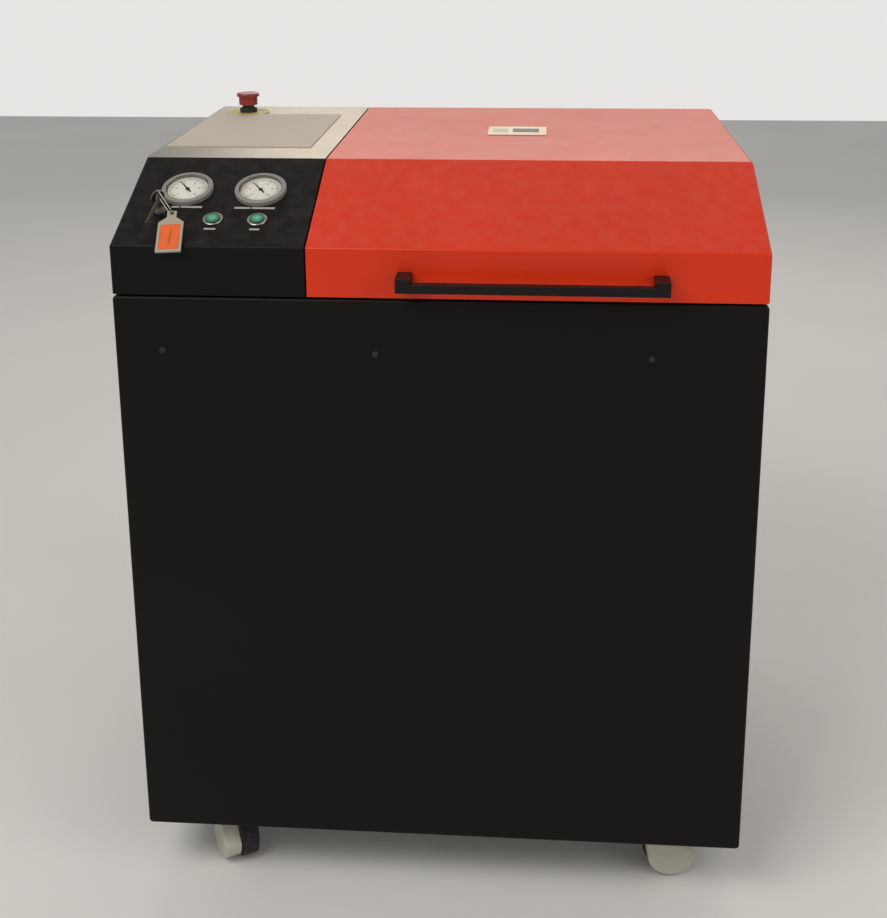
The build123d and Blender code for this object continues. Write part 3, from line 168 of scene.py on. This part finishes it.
def finish(name, look):
    # one surface finish: colour with slow variation, fine grain in the relief and the
    # roughness, handling marks, and a little dust where the surface faces up
    t = Tree(name)
    shade = look["colour"]
    deep = tuple(c * look.get("deep", 0.8) for c in shade[:3]) + (1.0,)
    slow = t.noise(look.get("slow", 3.0), 4.0)
    colour = t.mixed(t.ranged(slow, 0.35, 0.65, 0.0, 1.0), shade, deep)
    if "brush" in look:
        grain = t.noise(1.0, 5.0, 0.7, t.scaled(t.coords, look["brush"]))
    else:
        grain = t.noise(look.get("grain", 900.0), 2.0, 0.6)
    rough = look["rough"]
    spread = look.get("spread", 0.06)
    marks = t.noise(look.get("marks", 14.0), 6.0, 0.65)
    roughness = t.math("ADD", t.ranged(grain, 0.3, 0.7, rough - spread, rough + spread),
                       t.ranged(marks, 0.45, 0.75, 0.0, look.get("smear", 0.06)))
    dust = look.get("dust", 0.12)
    if dust:
        facing = t.add("ShaderNodeSeparateXYZ")
        t.link(t.add("ShaderNodeNewGeometry").outputs["Normal"], facing.inputs[0])
        upward = t.ranged(facing.outputs["Z"], 0.75, 1.0, 0.0, 1.0)
        patches = t.ranged(t.noise(45.0, 6.0, 0.7), 0.42, 0.72, 0.0, dust)
        film = t.math("MULTIPLY", upward, patches)
        colour = t.mixed(film, colour, linear(176, 168, 156))
        roughness = t.math("ADD", roughness, t.math("MULTIPLY", film, 0.5))
    t.link(colour, t.shader.inputs["Base Color"])
    t.link(roughness, t.shader.inputs["Roughness"])
    t.shader.inputs["Metallic"].default_value = look.get("metal", 0.0)
    t.shader.inputs["Coat Weight"].default_value = look.get("coat", 0.0)
    t.shader.inputs["Coat Roughness"].default_value = 0.12
    t.shader.inputs["IOR"].default_value = look.get("ior", 1.5)
    t.bumped(grain, look.get("relief", 0.2), look.get("depth", 0.0002))
    return t


looks = {
    "black_paint": {"colour": linear(15, 13, 11), "rough": 0.46, "ior": 1.25, "grain": 1500.0,
                    "relief": 0.25, "depth": 0.0003, "deep": 0.7, "dust": 0.05},
    "red_paint": {"colour": linear(214, 48, 4), "rough": 0.34, "grain": 1400.0, "relief": 0.12,
                  "deep": 0.9, "coat": 0.06, "ior": 1.4, "dust": 0.1, "spread": 0.04},
    "plated_steel": {"colour": linear(176, 176, 170), "rough": 0.34, "metal": 1.0,
                     "grain": 260.0, "deep": 0.7},
    "brushed_plate": {"colour": linear(186, 180, 168), "rough": 0.33, "metal": 1.0,
                      "brush": (900.0, 14.0, 14.0), "relief": 0.1, "dust": 0.1},
    "frame_steel": {"colour": linear(96, 98, 100), "rough": 0.5, "grain": 700.0},
    "handle_black": {"colour": linear(14, 8, 7), "rough": 0.36, "ior": 1.35,
                     "grain": 1100.0, "dust": 0.03},
    "mat_grey": {"colour": linear(196, 186, 172), "rough": 0.62, "grain": 2200.0,
                 "relief": 0.3, "deep": 0.9},
    "pale_plate": {"colour": linear(216, 206, 184), "rough": 0.32, "metal": 0.7,
                   "brush": (40.0, 900.0, 40.0)},
    "gauge_grey": {"colour": linear(140, 138, 134), "rough": 0.35, "grain": 900.0},
    "needle_black": {"colour": linear(20, 20, 20), "rough": 0.5, "dust": 0.0},
    "bezel_chrome": {"colour": linear(196, 194, 188), "rough": 0.16, "metal": 1.0,
                     "grain": 500.0, "relief": 0.05, "dust": 0.04},
    "lock_metal": {"colour": linear(120, 118, 114), "rough": 0.26, "metal": 1.0},
    "key_metal": {"colour": linear(150, 146, 138), "rough": 0.3, "metal": 1.0,
                  "brush": (500.0, 500.0, 40.0)},
    "tag_frame": {"colour": linear(168, 160, 142), "rough": 0.36, "coat": 0.2},
    "stop_yellow": {"colour": linear(196, 176, 96), "rough": 0.42},
    "stop_black": {"colour": linear(26, 24, 23), "rough": 0.45},
    "stop_red": {"colour": linear(146, 34, 24), "rough": 0.3, "coat": 0.3, "dust": 0.06},
    "machined": {"colour": linear(190, 191, 192), "rough": 0.27, "metal": 1.0,
                 "brush": (1600.0, 20.0, 20.0), "relief": 0.15},
    "carriage_grey": {"colour": linear(92, 95, 100), "rough": 0.38, "metal": 0.8},
    "laser_black": {"colour": linear(24, 25, 27), "rough": 0.4, "metal": 0.3},
    "ground_steel": {"colour": linear(186, 187, 189), "rough": 0.18, "metal": 1.0,
                     "brush": (1200.0, 60.0, 60.0), "relief": 0.08},
    "motor_black": {"colour": linear(32, 32, 34), "rough": 0.42, "grain": 700.0},
    "belt_rubber": {"colour": linear(20, 20, 20), "rough": 0.75, "brush": (20.0, 700.0, 700.0),
                    "relief": 0.5, "dust": 0.2},
    "pump_grey": {"colour": linear(84, 92, 98), "rough": 0.5, "grain": 260.0, "relief": 0.5},
    "box_grey": {"colour": linear(186, 188, 186), "rough": 0.42},
    "socket_black": {"colour": linear(22, 22, 22), "rough": 0.4},
    "port_black": {"colour": linear(26, 26, 26), "rough": 0.5, "dust": 0.2},
    "caster_grey": {"colour": linear(188, 185, 172), "rough": 0.42, "grain": 500.0,
                    "deep": 0.85, "dust": 0.2},
    "pedal_black": {"colour": linear(28, 28, 28), "rough": 0.5, "dust": 0.25},
}
slotOf = {s["node"]: s["material_slot"] for s in frame["record"]["subparts"]}
made = {name: finish(name, look).material for name, look in looks.items()}


def clearGlass():
    t = Tree("clear")
    smears = t.noise(60.0, 5.0, 0.7)
    t.link(t.ranged(smears, 0.4, 0.8, 0.03, 0.16), t.shader.inputs["Roughness"])
    t.shader.inputs["Transmission Weight"].default_value = 1.0
    t.shader.inputs["IOR"].default_value = 1.15
    t.link(t.mixed(t.ranged(smears, 0.2, 0.8, 0.0, 1.0), (0.97, 0.98, 0.97, 1), (1, 1, 1, 1)),
           t.shader.inputs["Base Color"])
    return t.material


def dialFace(centres):
    # white enamel with painted shade towards the rim of each dial, where the case rim shades it: darker and
    # slightly yellower there
    t = Tree("dial_white")
    near = t.math("MINIMUM", t.distance(centres[0]), t.distance(centres[1]))
    # painted shade mask: 0 in the middle of the dial, 1 at its rim
    rim = t.ranged(near, 0.018, 0.031, 0.0, 1.0)
    t.link(t.mixed(rim, linear(238, 236, 228), linear(196, 190, 176)),
           t.shader.inputs["Base Color"])
    grain = t.noise(1800.0, 2.0)
    t.link(t.ranged(grain, 0.3, 0.7, 0.45, 0.6), t.shader.inputs["Roughness"])
    t.bumped(grain, 0.1, 0.0001)
    return t.material


def buttonGreen(centres):
    # a moulded green cap with a painted highlight: lighter in the middle, where light falls on it
    t = Tree("button_green")
    near = t.math("MINIMUM", t.distance(centres[0]), t.distance(centres[1]))
    # painted highlight mask: 1 at the middle of each cap, fading to 0 towards its edge
    paintedHighlight = t.ranged(near, 0.002, 0.0095, 1.0, 0.0)
    t.link(t.mixed(paintedHighlight, linear(20, 92, 64), linear(96, 176, 138)),
           t.shader.inputs["Base Color"])
    scuffs = t.noise(300.0, 4.0)
    t.link(t.ranged(scuffs, 0.3, 0.7, 0.2, 0.36), t.shader.inputs["Roughness"])
    t.shader.inputs["Coat Weight"].default_value = 0.4
    t.bumped(scuffs, 0.08, 0.0001)
    return t.material


def orangeCard(centre):
    # an orange printed card with two worn, darker streaks down it
    t = Tree("card_orange")
    wave = t.add("ShaderNodeTexWave", wave_type="BANDS", bands_direction="X")
    wave.inputs["Scale"].default_value = 22.0
    wave.inputs["Distortion"].default_value = 1.4
    wave.inputs["Detail"].default_value = 3.0
    t.link(t.coords, wave.inputs["Vector"])
    streak = t.ranged(wave.outputs["Fac"], 0.72, 0.95, 0.0, 0.45)
    near = t.ranged(t.distance(centre), 0.008, 0.019, 1.0, 0.0)
    t.link(t.mixed(t.math("MULTIPLY", streak, near), linear(226, 96, 30), linear(120, 52, 24)),
           t.shader.inputs["Base Color"])
    film = t.noise(90.0, 5.0)
    t.link(t.ranged(film, 0.3, 0.7, 0.25, 0.42), t.shader.inputs["Roughness"])
    t.shader.inputs["Coat Weight"].default_value = 0.3
    return t.material


def wheelFace(name, centre, axle, radius):
    # a pale hub inside a black tread, with scuffs and grit in the tread
    t = Tree(name)
    out = t.distance(centre, axle)
    tread = t.ranged(out, radius - 0.0085, radius - 0.0075, 0.0, 1.0)
    grit = t.ranged(t.noise(320.0, 5.0, 0.7), 0.5, 0.75, 0.0, 1.0)
    rubber = t.mixed(grit, linear(18, 17, 17), linear(74, 70, 64))
    hub = t.mixed(t.ranged(t.noise(30.0, 5.0), 0.4, 0.7, 0.0, 1.0), linear(158, 154, 142),
                  linear(120, 116, 104))
    t.link(t.mixed(tread, hub, rubber), t.shader.inputs["Base Color"])
    t.link(t.ranged(tread, 0.0, 1.0, 0.42, 0.8), t.shader.inputs["Roughness"])
    t.bumped(t.noise(600.0, 3.0), 0.25, 0.0003)
    return t.material


dialCentres = []
for node in ("left_needle", "right_needle"):
    joint = next(j for j in frame["joints"] if j["child"] == node)
    dialCentres.append(np.array(joint["pos_m"]))
buttonCentres = [middle("left_button") + slopeOut * 0.007, middle("right_button") + slopeOut * 0.007]
wheelRadius = 0.04
made["clear"] = clearGlass()
made["dial_white"] = dialFace([c + slopeOut * 0.002 for c in dialCentres])
made["button_green"] = buttonGreen(buttonCentres)
made["card_orange"] = orangeCard(middle("tag_card"))

for node, item in nodes.items():
    if node.endswith("_wheel"):
        joint = next(j for j in frame["joints"] if j["child"] == node)
        material = wheelFace(node + "_face", joint["pos_m"], joint["axis"], wheelRadius)
    else:
        material = made[slotOf[node]]
    item.data.materials.clear()
    item.data.materials.append(material)
    for face in item.data.polygons:
        face.material_index = 0
print("materials set")


# Meshes made here

def addMesh(name, points, faces, body, slot, material=None, smooth=True):
    mesh = bpy.data.meshes.new(name)
    mesh.from_pydata([tuple(map(float, p)) for p in points], [], faces)
    mesh.update()
    item = bpy.data.objects.new(name, mesh)
    bpy.context.scene.collection.objects.link(item)
    mesh.materials.append(material or made[slot])
    mesh.polygons.foreach_set("use_smooth", [smooth] * len(mesh.polygons))
    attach(item, body)
    return item


def turned(profile, origin, axis, steps=32):
    # a profile of (radius, height) turned about an axis, closed at both ends by a centre point
    axis = np.array(axis, float) / np.linalg.norm(axis)
    side = np.cross(axis, (0.31, 0.77, 0.55))
    side = side / np.linalg.norm(side)
    other = np.cross(axis, side)
    points, faces = [], []
    for radius, height in profile:
        for k in range(steps):
            a = 2 * math.pi * k / steps
            points.append(origin + axis * height
                          + (side * math.cos(a) + other * math.sin(a)) * radius)
    for row in range(len(profile) - 1):
        for k in range(steps):
            n = (k + 1) % steps
            faces.append((row * steps + k, row * steps + n, (row + 1) * steps + n,
                          (row + 1) * steps + k))
    for row, height in ((0, profile[0][1]), (len(profile) - 1, profile[-1][1])):
        points.append(origin + axis * height)
        for k in range(steps):
            n = (k + 1) % steps
            rim = (row * steps + n, row * steps + k) if row == 0 else (row * steps + k, row * steps + n)
            faces.append((*rim, len(points) - 1))
    return points, faces


def gathered(parts):
    points, faces = [], []
    for somePoints, someFaces in parts:
        start = len(points)
        points += list(somePoints)
        faces += [tuple(i + start for i in face) for face in someFaces]
    return points, faces


def slab(corner, u, v, w):
    # a slab with slightly chamfered top edges, from a corner and three edge vectors
    u, v, w = (np.array(a, float) for a in (u, v, w))
    c = min(np.linalg.norm(u), np.linalg.norm(v), np.linalg.norm(w)) * 0.3
    un, vn, wn = (a / np.linalg.norm(a) for a in (u, v, w))
    base = [corner, corner + u, corner + u + v, corner + v]
    mid = [p + w - wn * c for p in base]
    top = [corner + w + un * c + vn * c, corner + u + w - un * c + vn * c,
           corner + u + v + w - un * c - vn * c, corner + v + w + un * c - vn * c]
    points = base + mid + top
    faces = [(3, 2, 1, 0), (8, 9, 10, 11)]
    for k in range(4):
        n = (k + 1) % 4
        faces.append((k, n, 4 + n, 4 + k))
        faces.append((4 + k, 4 + n, 8 + n, 8 + k))
    return points, faces


# Socket screws: domed heads with a hollow in the middle
screwHead = {"radius": 0.004, "height": 0.0026, "socket": 0.0021}


def screwPart(origin, axis, size=1.0):
    r, h, s = (screwHead[k] * size for k in ("radius", "height", "socket"))
    return turned([(r, -0.0002), (r, h * 0.55), (r * 0.86, h * 0.9), (r * 0.7, h), (s, h),
                   (s * 0.95, h * 0.25)], np.array(origin), axis, 24)


# the hinges' places along the lid, and their screws' rows each side of the pin
hingeLeaf = {"places": (-0.0665, 0.34), "across": 0.02, "far": 0.0285, "near": 0.0185,
             "pin_lift": 0.003, "thick": 0.002}
hingeScrews = []
for node, sign in (("lid_fittings", 1), ("deck_fittings", -1)):
    for x in hingeLeaf["places"]:
        for dx in (-hingeLeaf["across"], 0.0, hingeLeaf["across"]):
            row = hingeLeaf["far"] if dx == 0 else hingeLeaf["near"]
            z = high("deck")[2] + hingeLeaf["pin_lift"] + sign * row
            hingeScrews.append((node, screwPart((x + dx, backY + hingeLeaf["thick"], z), (0, 1, 0), 0.9)))
for node, body in (("lid_fittings", "lid"), ("deck_fittings", "chassis")):
    points, faces = gathered([part for owner, part in hingeScrews if owner == node])
    addMesh(f"hinge_screws_{body}", points, faces, body, "plated_steel")

portAt = middle("extraction_port")
portRing = {"radius": 0.0315, "flange": 0.0025, "count": 4}
ringParts = []
for k in range(portRing["count"]):
    a = math.pi / 4 + k * math.pi / 2
    ringParts.append(screwPart((portAt[0] + portRing["radius"] * math.cos(a),
                                backY + portRing["flange"],
                                portAt[2] + portRing["radius"] * math.sin(a)), (0, 1, 0), 0.8))
points, faces = gathered(ringParts)
addMesh("port_screws", points, faces, "chassis", "plated_steel")

clampCount = 7
clampPitch = 0.06
clampSeat = {"aside": 11, "rise": 63.66, "radius": 0.06266}
clampParts = []
drumJoint = next(j for j in frame["joints"] if j["child"] == "drum")
drumAt = np.array(drumJoint["pos_m"])
for side in (-1, 1):
    out = np.array([0, side * clampSeat["aside"], clampSeat["rise"]])
    out = out / np.linalg.norm(out)
    for k in range(clampCount):
        x = drumAt[0] + (k - clampCount // 2) * clampPitch
        seat = np.array([x, drumAt[1], drumAt[2]]) + out * clampSeat["radius"]
        clampParts.append(screwPart(seat, out, 0.85))
points, faces = gathered(clampParts)
addMesh("clamp_screws", points, faces, "drum", "plated_steel")

plateBolt = {"x": 0.032, "y": 0.023, "z": 0.094}
casterBolts = []
for name in ("front_left", "front_right", "rear_left", "rear_right"):
    joint = next(j for j in frame["joints"] if j["child"] == name + "_fork")
    at = joint["pos_m"]
    for dx in (-plateBolt["x"], plateBolt["x"]):
        for dy in (-plateBolt["y"], plateBolt["y"]):
            casterBolts.append(turned([(0.0065, -0.0005), (0.0065, 0.003), (0.0052, 0.0042),
                                       (0.002, 0.0046)],
                                      np.array([at[0] + dx, at[1] + dy, plateBolt["z"]]), (0, 0, -1), 6))
points, faces = gathered(casterBolts)
addMesh("caster_bolts", points, faces, "chassis", "plated_steel", smooth=False)
print("screws made")

# Gauge printing: ticks round each dial and numbers
dial = {"inner": 0.0205, "outer": 0.026, "small": 0.0235, "sweep": 270.0, "steps": 40,
        "major_every": 8, "number_step": 2, "number_radius": 0.0165, "number_size": 0.0052}
ink = finish("dial_ink", {"colour": linear(24, 24, 26), "rough": 0.6, "dust": 0.0}).material
for centre, side in zip(dialCentres, ("left", "right")):
    face = np.array(centre) + slopeOut * 0.00202
    parts = []
    for k in range(dial["steps"] + 1):
        a = math.radians(90 + dial["sweep"] / 2 - dial["sweep"] * k / dial["steps"])
        out = np.array([1.0, 0, 0]) * math.cos(a) + slopeUp * math.sin(a)
        turn = np.cross(slopeOut, out)
        major = k % dial["major_every"] == 0
        start = dial["inner"] if major else dial["small"]
        wide = 0.0007 if major else 0.00035
        parts.append(slab(face + out * start - turn * wide / 2, out * (dial["outer"] - start),
                          turn * wide, slopeOut * 0.00006))
    points, faces = gathered(parts)
    addMesh(f"dial_ticks_{side}", points, faces, "chassis", "needle_black", ink, smooth=False)
    for k in range(6):
        a = math.radians(90 + dial["sweep"] / 2 - dial["sweep"] * k / 5)
        spot = face + (np.array([1.0, 0, 0]) * math.cos(a)
                       + slopeUp * math.sin(a)) * dial["number_radius"]
        words = bpy.data.curves.new(f"dial_number_{side}_{k}", "FONT")
        words.body = str(dial["number_step"] * k)
        words.size = dial["number_size"]
        words.extrude = 0.00003
        words.align_x = "CENTER"
        words.align_y = "CENTER"
        turnTo = Matrix(((1, 0, 0), (0, slopeUp[1], slopeOut[1]), (0, slopeUp[2], slopeOut[2])))
        held = bpy.data.objects.new(words.name, words)
        bpy.context.scene.collection.objects.link(held)
        mesh = bpy.data.meshes.new_from_object(held)
        bpy.data.objects.remove(held)
        mesh.transform(Matrix.Translation(Vector(spot)) @ turnTo.to_4x4())
        number = bpy.data.objects.new(words.name, mesh)
        bpy.context.scene.collection.objects.link(number)
        mesh.materials.clear()
        mesh.materials.append(ink)
        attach(number, "chassis")

# Blank caption bars printed under the gauges and the buttons
captions = {"bars": [(-0.382, -0.371, 0.0885, 0.0042), (-0.369, -0.338, 0.0885, 0.0042),
                     (-0.291, -0.268, 0.0875, 0.0042), (-0.266, -0.233, 0.0875, 0.0042),
                     (-0.3245, -0.3085, 0.038, 0.0036), (-0.2605, -0.2465, 0.038, 0.0036)]}
pale = finish("caption_ink", {"colour": linear(176, 172, 162), "rough": 0.5, "dust": 0.0}).material
parts = [slab(onSlope(x0, s, 0.00002), (x1 - x0, 0, 0), slopeUp * tall, slopeOut * 0.00008)
         for x0, x1, s, tall in captions["bars"]]
points, faces = gathered(parts)
addMesh("caption_bars", points, faces, "chassis", "gauge_grey", pale, smooth=False)

# Fields on the lid plate: a grey patch and fine rules, all blank
plateLow, plateHigh = low("lid_plate"), high("lid_plate")
size = plateHigh - plateLow
dull = finish("plate_field", {"colour": linear(128, 124, 116), "rough": 0.55}).material
parts = [slab(np.array([plateLow[0] + size[0] * 0.42, plateLow[1] + size[1] * 0.3, plateHigh[2]]),
              (size[0] * 0.45, 0, 0), (0, size[1] * 0.45, 0), (0, 0, 0.00012))]
for k in range(3):
    parts.append(slab(np.array([plateLow[0] + size[0] * 0.08,
                                plateLow[1] + size[1] * (0.3 + 0.16 * k), plateHigh[2]]),
                      (size[0] * 0.26, 0, 0), (0, size[1] * 0.04, 0), (0, 0, 0.00012)))
points, faces = gathered(parts)
addMesh("lid_plate_fields", points, faces, "lid", "pale_plate", dull, smooth=False)

# Twist arrows moulded on the stop button: three bent slabs
stopAt = middle("stop_head")
stopTop = high("stop_head")[2]
arrow = {"radius": 0.0115, "shaft": 0.0012, "head": 0.0026, "lift": 0.00015, "sweep": 70}
white = finish("arrow_white", {"colour": linear(214, 204, 190), "rough": 0.5, "dust": 0.0}).material
parts = []
for k in range(3):
    rows = []
    for n in range(13):
        a = math.radians(120 * k + arrow["sweep"] * n / 12)
        wide = arrow["shaft"] if n < 9 else arrow["head"] * (12 - n) / 3 + 0.0001
        out = np.array([math.cos(a), math.sin(a), 0])
        centre = np.array([stopAt[0], stopAt[1], stopTop])
        rows.append((centre + out * (arrow["radius"] - wide),
                     centre + out * (arrow["radius"] + wide)))
    base = [p for pair in rows for p in pair]
    lift = [p + np.array([0, 0, arrow["lift"]]) for p in base]
    count = len(base)
    ringFaces = []
    for n in range(12):
        i = 2 * n
        ringFaces.append((i, i + 2, i + 3, i + 1))
        ringFaces.append((count + i, count + i + 1, count + i + 3, count + i + 2))
        ringFaces.append((i, count + i, count + i + 2, i + 2))
        ringFaces.append((i + 1, i + 3, count + i + 3, count + i + 1))
    ringFaces.append((0, 1, count + 1, count))
    last = count - 2
    ringFaces.append((last, count + last, count + last + 1, last + 1))
    parts.append((base + lift, ringFaces))
points, faces = gathered(parts)
addMesh("stop_arrows", points, faces, "stop_head", "stop_red", white, smooth=False)

# Rubber seal on the deck inside the lid's lip: a half-round swept round the loading bay
seal = {"inset": 0.019, "radius": 0.0028, "corner": 0.02, "rear": 0.012}
shellLow, shellHigh = low("lid_shell"), high("lid_shell")
x0, x1 = shellLow[0] + seal["inset"], shellHigh[0] - seal["inset"]
y0, y1 = frontY + seal["inset"], backY - seal["rear"]
path = []
for cx, cy, start in ((x1, y0, -90), (x1, y1, 0), (x0, y1, 90), (x0, y0, 180)):
    sx = -1 if cx == x1 else 1
    sy = 1 if cy == y0 else -1
    for k in range(9):
        a = math.radians(start + 90 * k / 8)
        path.append(((cx + sx * seal["corner"] + math.cos(a) * seal["corner"],
                      cy + sy * seal["corner"] + math.sin(a) * seal["corner"]),
                     (math.cos(a), math.sin(a))))
points, faces = [], []
ring = 9
for (px, py), (nx, ny) in path:
    for k in range(ring):
        a = math.pi * k / (ring - 1)
        points.append((px + nx * math.cos(a) * seal["radius"],
                       py + ny * math.cos(a) * seal["radius"],
                       deckZ + math.sin(a) * seal["radius"]))
for i in range(len(path)):
    j = (i + 1) % len(path)
    for k in range(ring):
        n = (k + 1) % ring
        faces.append((i * ring + k, j * ring + k, j * ring + n, i * ring + n))
addMesh("bay_seal", points, faces, "chassis", "belt_rubber")

# Mains inlet blades and the lens in the laser barrel
inlet = middle("mains_inlet")
parts = []
for dx, dz in ((-0.007, 0.002), (0.007, 0.002), (0.0, -0.004)):
    parts.append(slab(np.array([inlet[0] - 0.008 + dx - 0.001, backY - 0.018, inlet[2] + dz - 0.002]),
                      (0.002, 0, 0), (0, 0, 0.004), (0, 0.014, 0)))
points, faces = gathered(parts)
addMesh("inlet_blades", points, [tuple(reversed(f)) for f in faces], "chassis", "plated_steel",
        smooth=False)
barrel = np.array([middle("laser_carriage")[0], low("laser_head")[1], drumAt[2] + 0.006])
lensShape = {"radius": 0.0086, "bulge": 0.0025, "inset": 0.0055}
lensProfile = [(lensShape["radius"], 0.0)]
lensProfile += [(lensShape["radius"] * math.cos(a), lensShape["bulge"] * math.sin(a))
                for a in np.linspace(0.15, 1.45, 8)]
points, faces = turned(lensProfile, barrel + np.array([0, lensShape["inset"], 0]), (0, -1, 0), 36)
addMesh("laser_lens", points, faces, "carriage", "clear")
print("details made")

# Floor, camera and light
floorTree = Tree("floor")
floorTree.link(floorTree.mixed(floorTree.ranged(floorTree.noise(1.2, 4.0), 0.3, 0.7, 0.0, 1.0),
                               (0.80, 0.80, 0.79, 1), (0.75, 0.75, 0.74, 1)),
               floorTree.shader.inputs["Base Color"])
floorTree.link(floorTree.ranged(floorTree.noise(30.0), 0.3, 0.7, 0.5, 0.62),
               floorTree.shader.inputs["Roughness"])
rows, half = 24, 7.0
grid = np.linspace(-half, half, rows)
points = [(x, y, 0.0) for y in grid for x in grid]
faces = [(r * rows + c, r * rows + c + 1, (r + 1) * rows + c + 1, (r + 1) * rows + c)
         for r in range(rows - 1) for c in range(rows - 1)]
mesh = bpy.data.meshes.new("floor")
mesh.from_pydata(points, [], faces)
mesh.materials.append(floorTree.material)
floor = bpy.data.objects.new("floor", mesh)
bpy.context.scene.collection.objects.link(floor)

world = bpy.data.worlds.new("studio")
world.use_nodes = True
sky = world.node_tree.nodes["Background"]
sky.inputs["Color"].default_value = (1.0, 0.985, 0.96, 1)
sky.inputs["Strength"].default_value = 0.42
# The backdrop is paler to the camera than what it lights and mirrors
backdrop = world.node_tree.nodes.new("ShaderNodeBackground")
backdrop.inputs["Color"].default_value = (1.0, 0.985, 0.96, 1)
backdrop.inputs["Strength"].default_value = 0.8
rayKind = world.node_tree.nodes.new("ShaderNodeLightPath")
either = world.node_tree.nodes.new("ShaderNodeMixShader")
join = world.node_tree.links.new
join(rayKind.outputs["Is Camera Ray"], either.inputs[0])
join(sky.outputs[0], either.inputs[1])
join(backdrop.outputs[0], either.inputs[2])
join(either.outputs[0], world.node_tree.nodes["World Output"].inputs["Surface"])
bpy.context.scene.world = world

lamps = {
    "key": {"at": (-1.6, -2.2, 3.4), "to": (0, 0, 0.8), "size": (2.4, 1.6), "power": 66,
            "tint": (1.0, 0.96, 0.90)},
    "fill": {"at": (2.6, -1.6, 2.0), "to": (0, 0, 0.6), "size": (2.0, 2.0), "power": 22,
             "tint": (1.0, 0.96, 0.90)},
    "window": {"at": (0.3, 3.6, 2.7), "to": (0.2, 0, 1.1), "size": (3.2, 1.8), "power": 30,
               "tint": (1.0, 0.89, 0.76)},
}
for name, spec in lamps.items():
    light = bpy.data.lights.new(name, "AREA")
    light.shape = "RECTANGLE"
    light.size, light.size_y = spec["size"]
    light.energy = spec["power"]
    light.color = spec["tint"]
    lamp = bpy.data.objects.new(name, light)
    aim = Vector(spec["to"]) - Vector(spec["at"])
    lamp.location = spec["at"]
    lamp.rotation_euler = aim.to_track_quat("-Z", "Y").to_euler()
    bpy.context.scene.collection.objects.link(lamp)

# The photograph's view, from a fit of the cabinet's corners
view = {"at": (0.1445, frontY - 1.7224, 1.4791), "yaw": -0.0779148, "pitch": 0.2503224,
        "roll": -0.0069711, "lens": 52.004, "shift": (0.00196, -0.24172)}
cy, sy = math.cos(view["yaw"]), math.sin(view["yaw"])
cp, sp = math.cos(view["pitch"]), math.sin(view["pitch"])
cr, sr = math.cos(view["roll"]), math.sin(view["roll"])
ahead = np.array([sy * cp, cy * cp, -sp])
level = np.array([cy, -sy, 0.0])
above = np.cross(level, ahead)
rightward = cr * level + sr * above
upward = -sr * level + cr * above
lens = bpy.data.cameras.new("camera")
lens.lens = view["lens"]
lens.shift_x, lens.shift_y = view["shift"]
camera = bpy.data.objects.new("camera", lens)
camera.matrix_world = Matrix(((rightward[0], upward[0], -ahead[0], view["at"][0]),
                              (rightward[1], upward[1], -ahead[1], view["at"][1]),
                              (rightward[2], upward[2], -ahead[2], view["at"][2]),
                              (0, 0, 0, 1)))
bpy.context.scene.collection.objects.link(camera)
bpy.context.scene.camera = camera
bpy.context.scene.view_settings.view_transform = "Standard"
print("stage set")
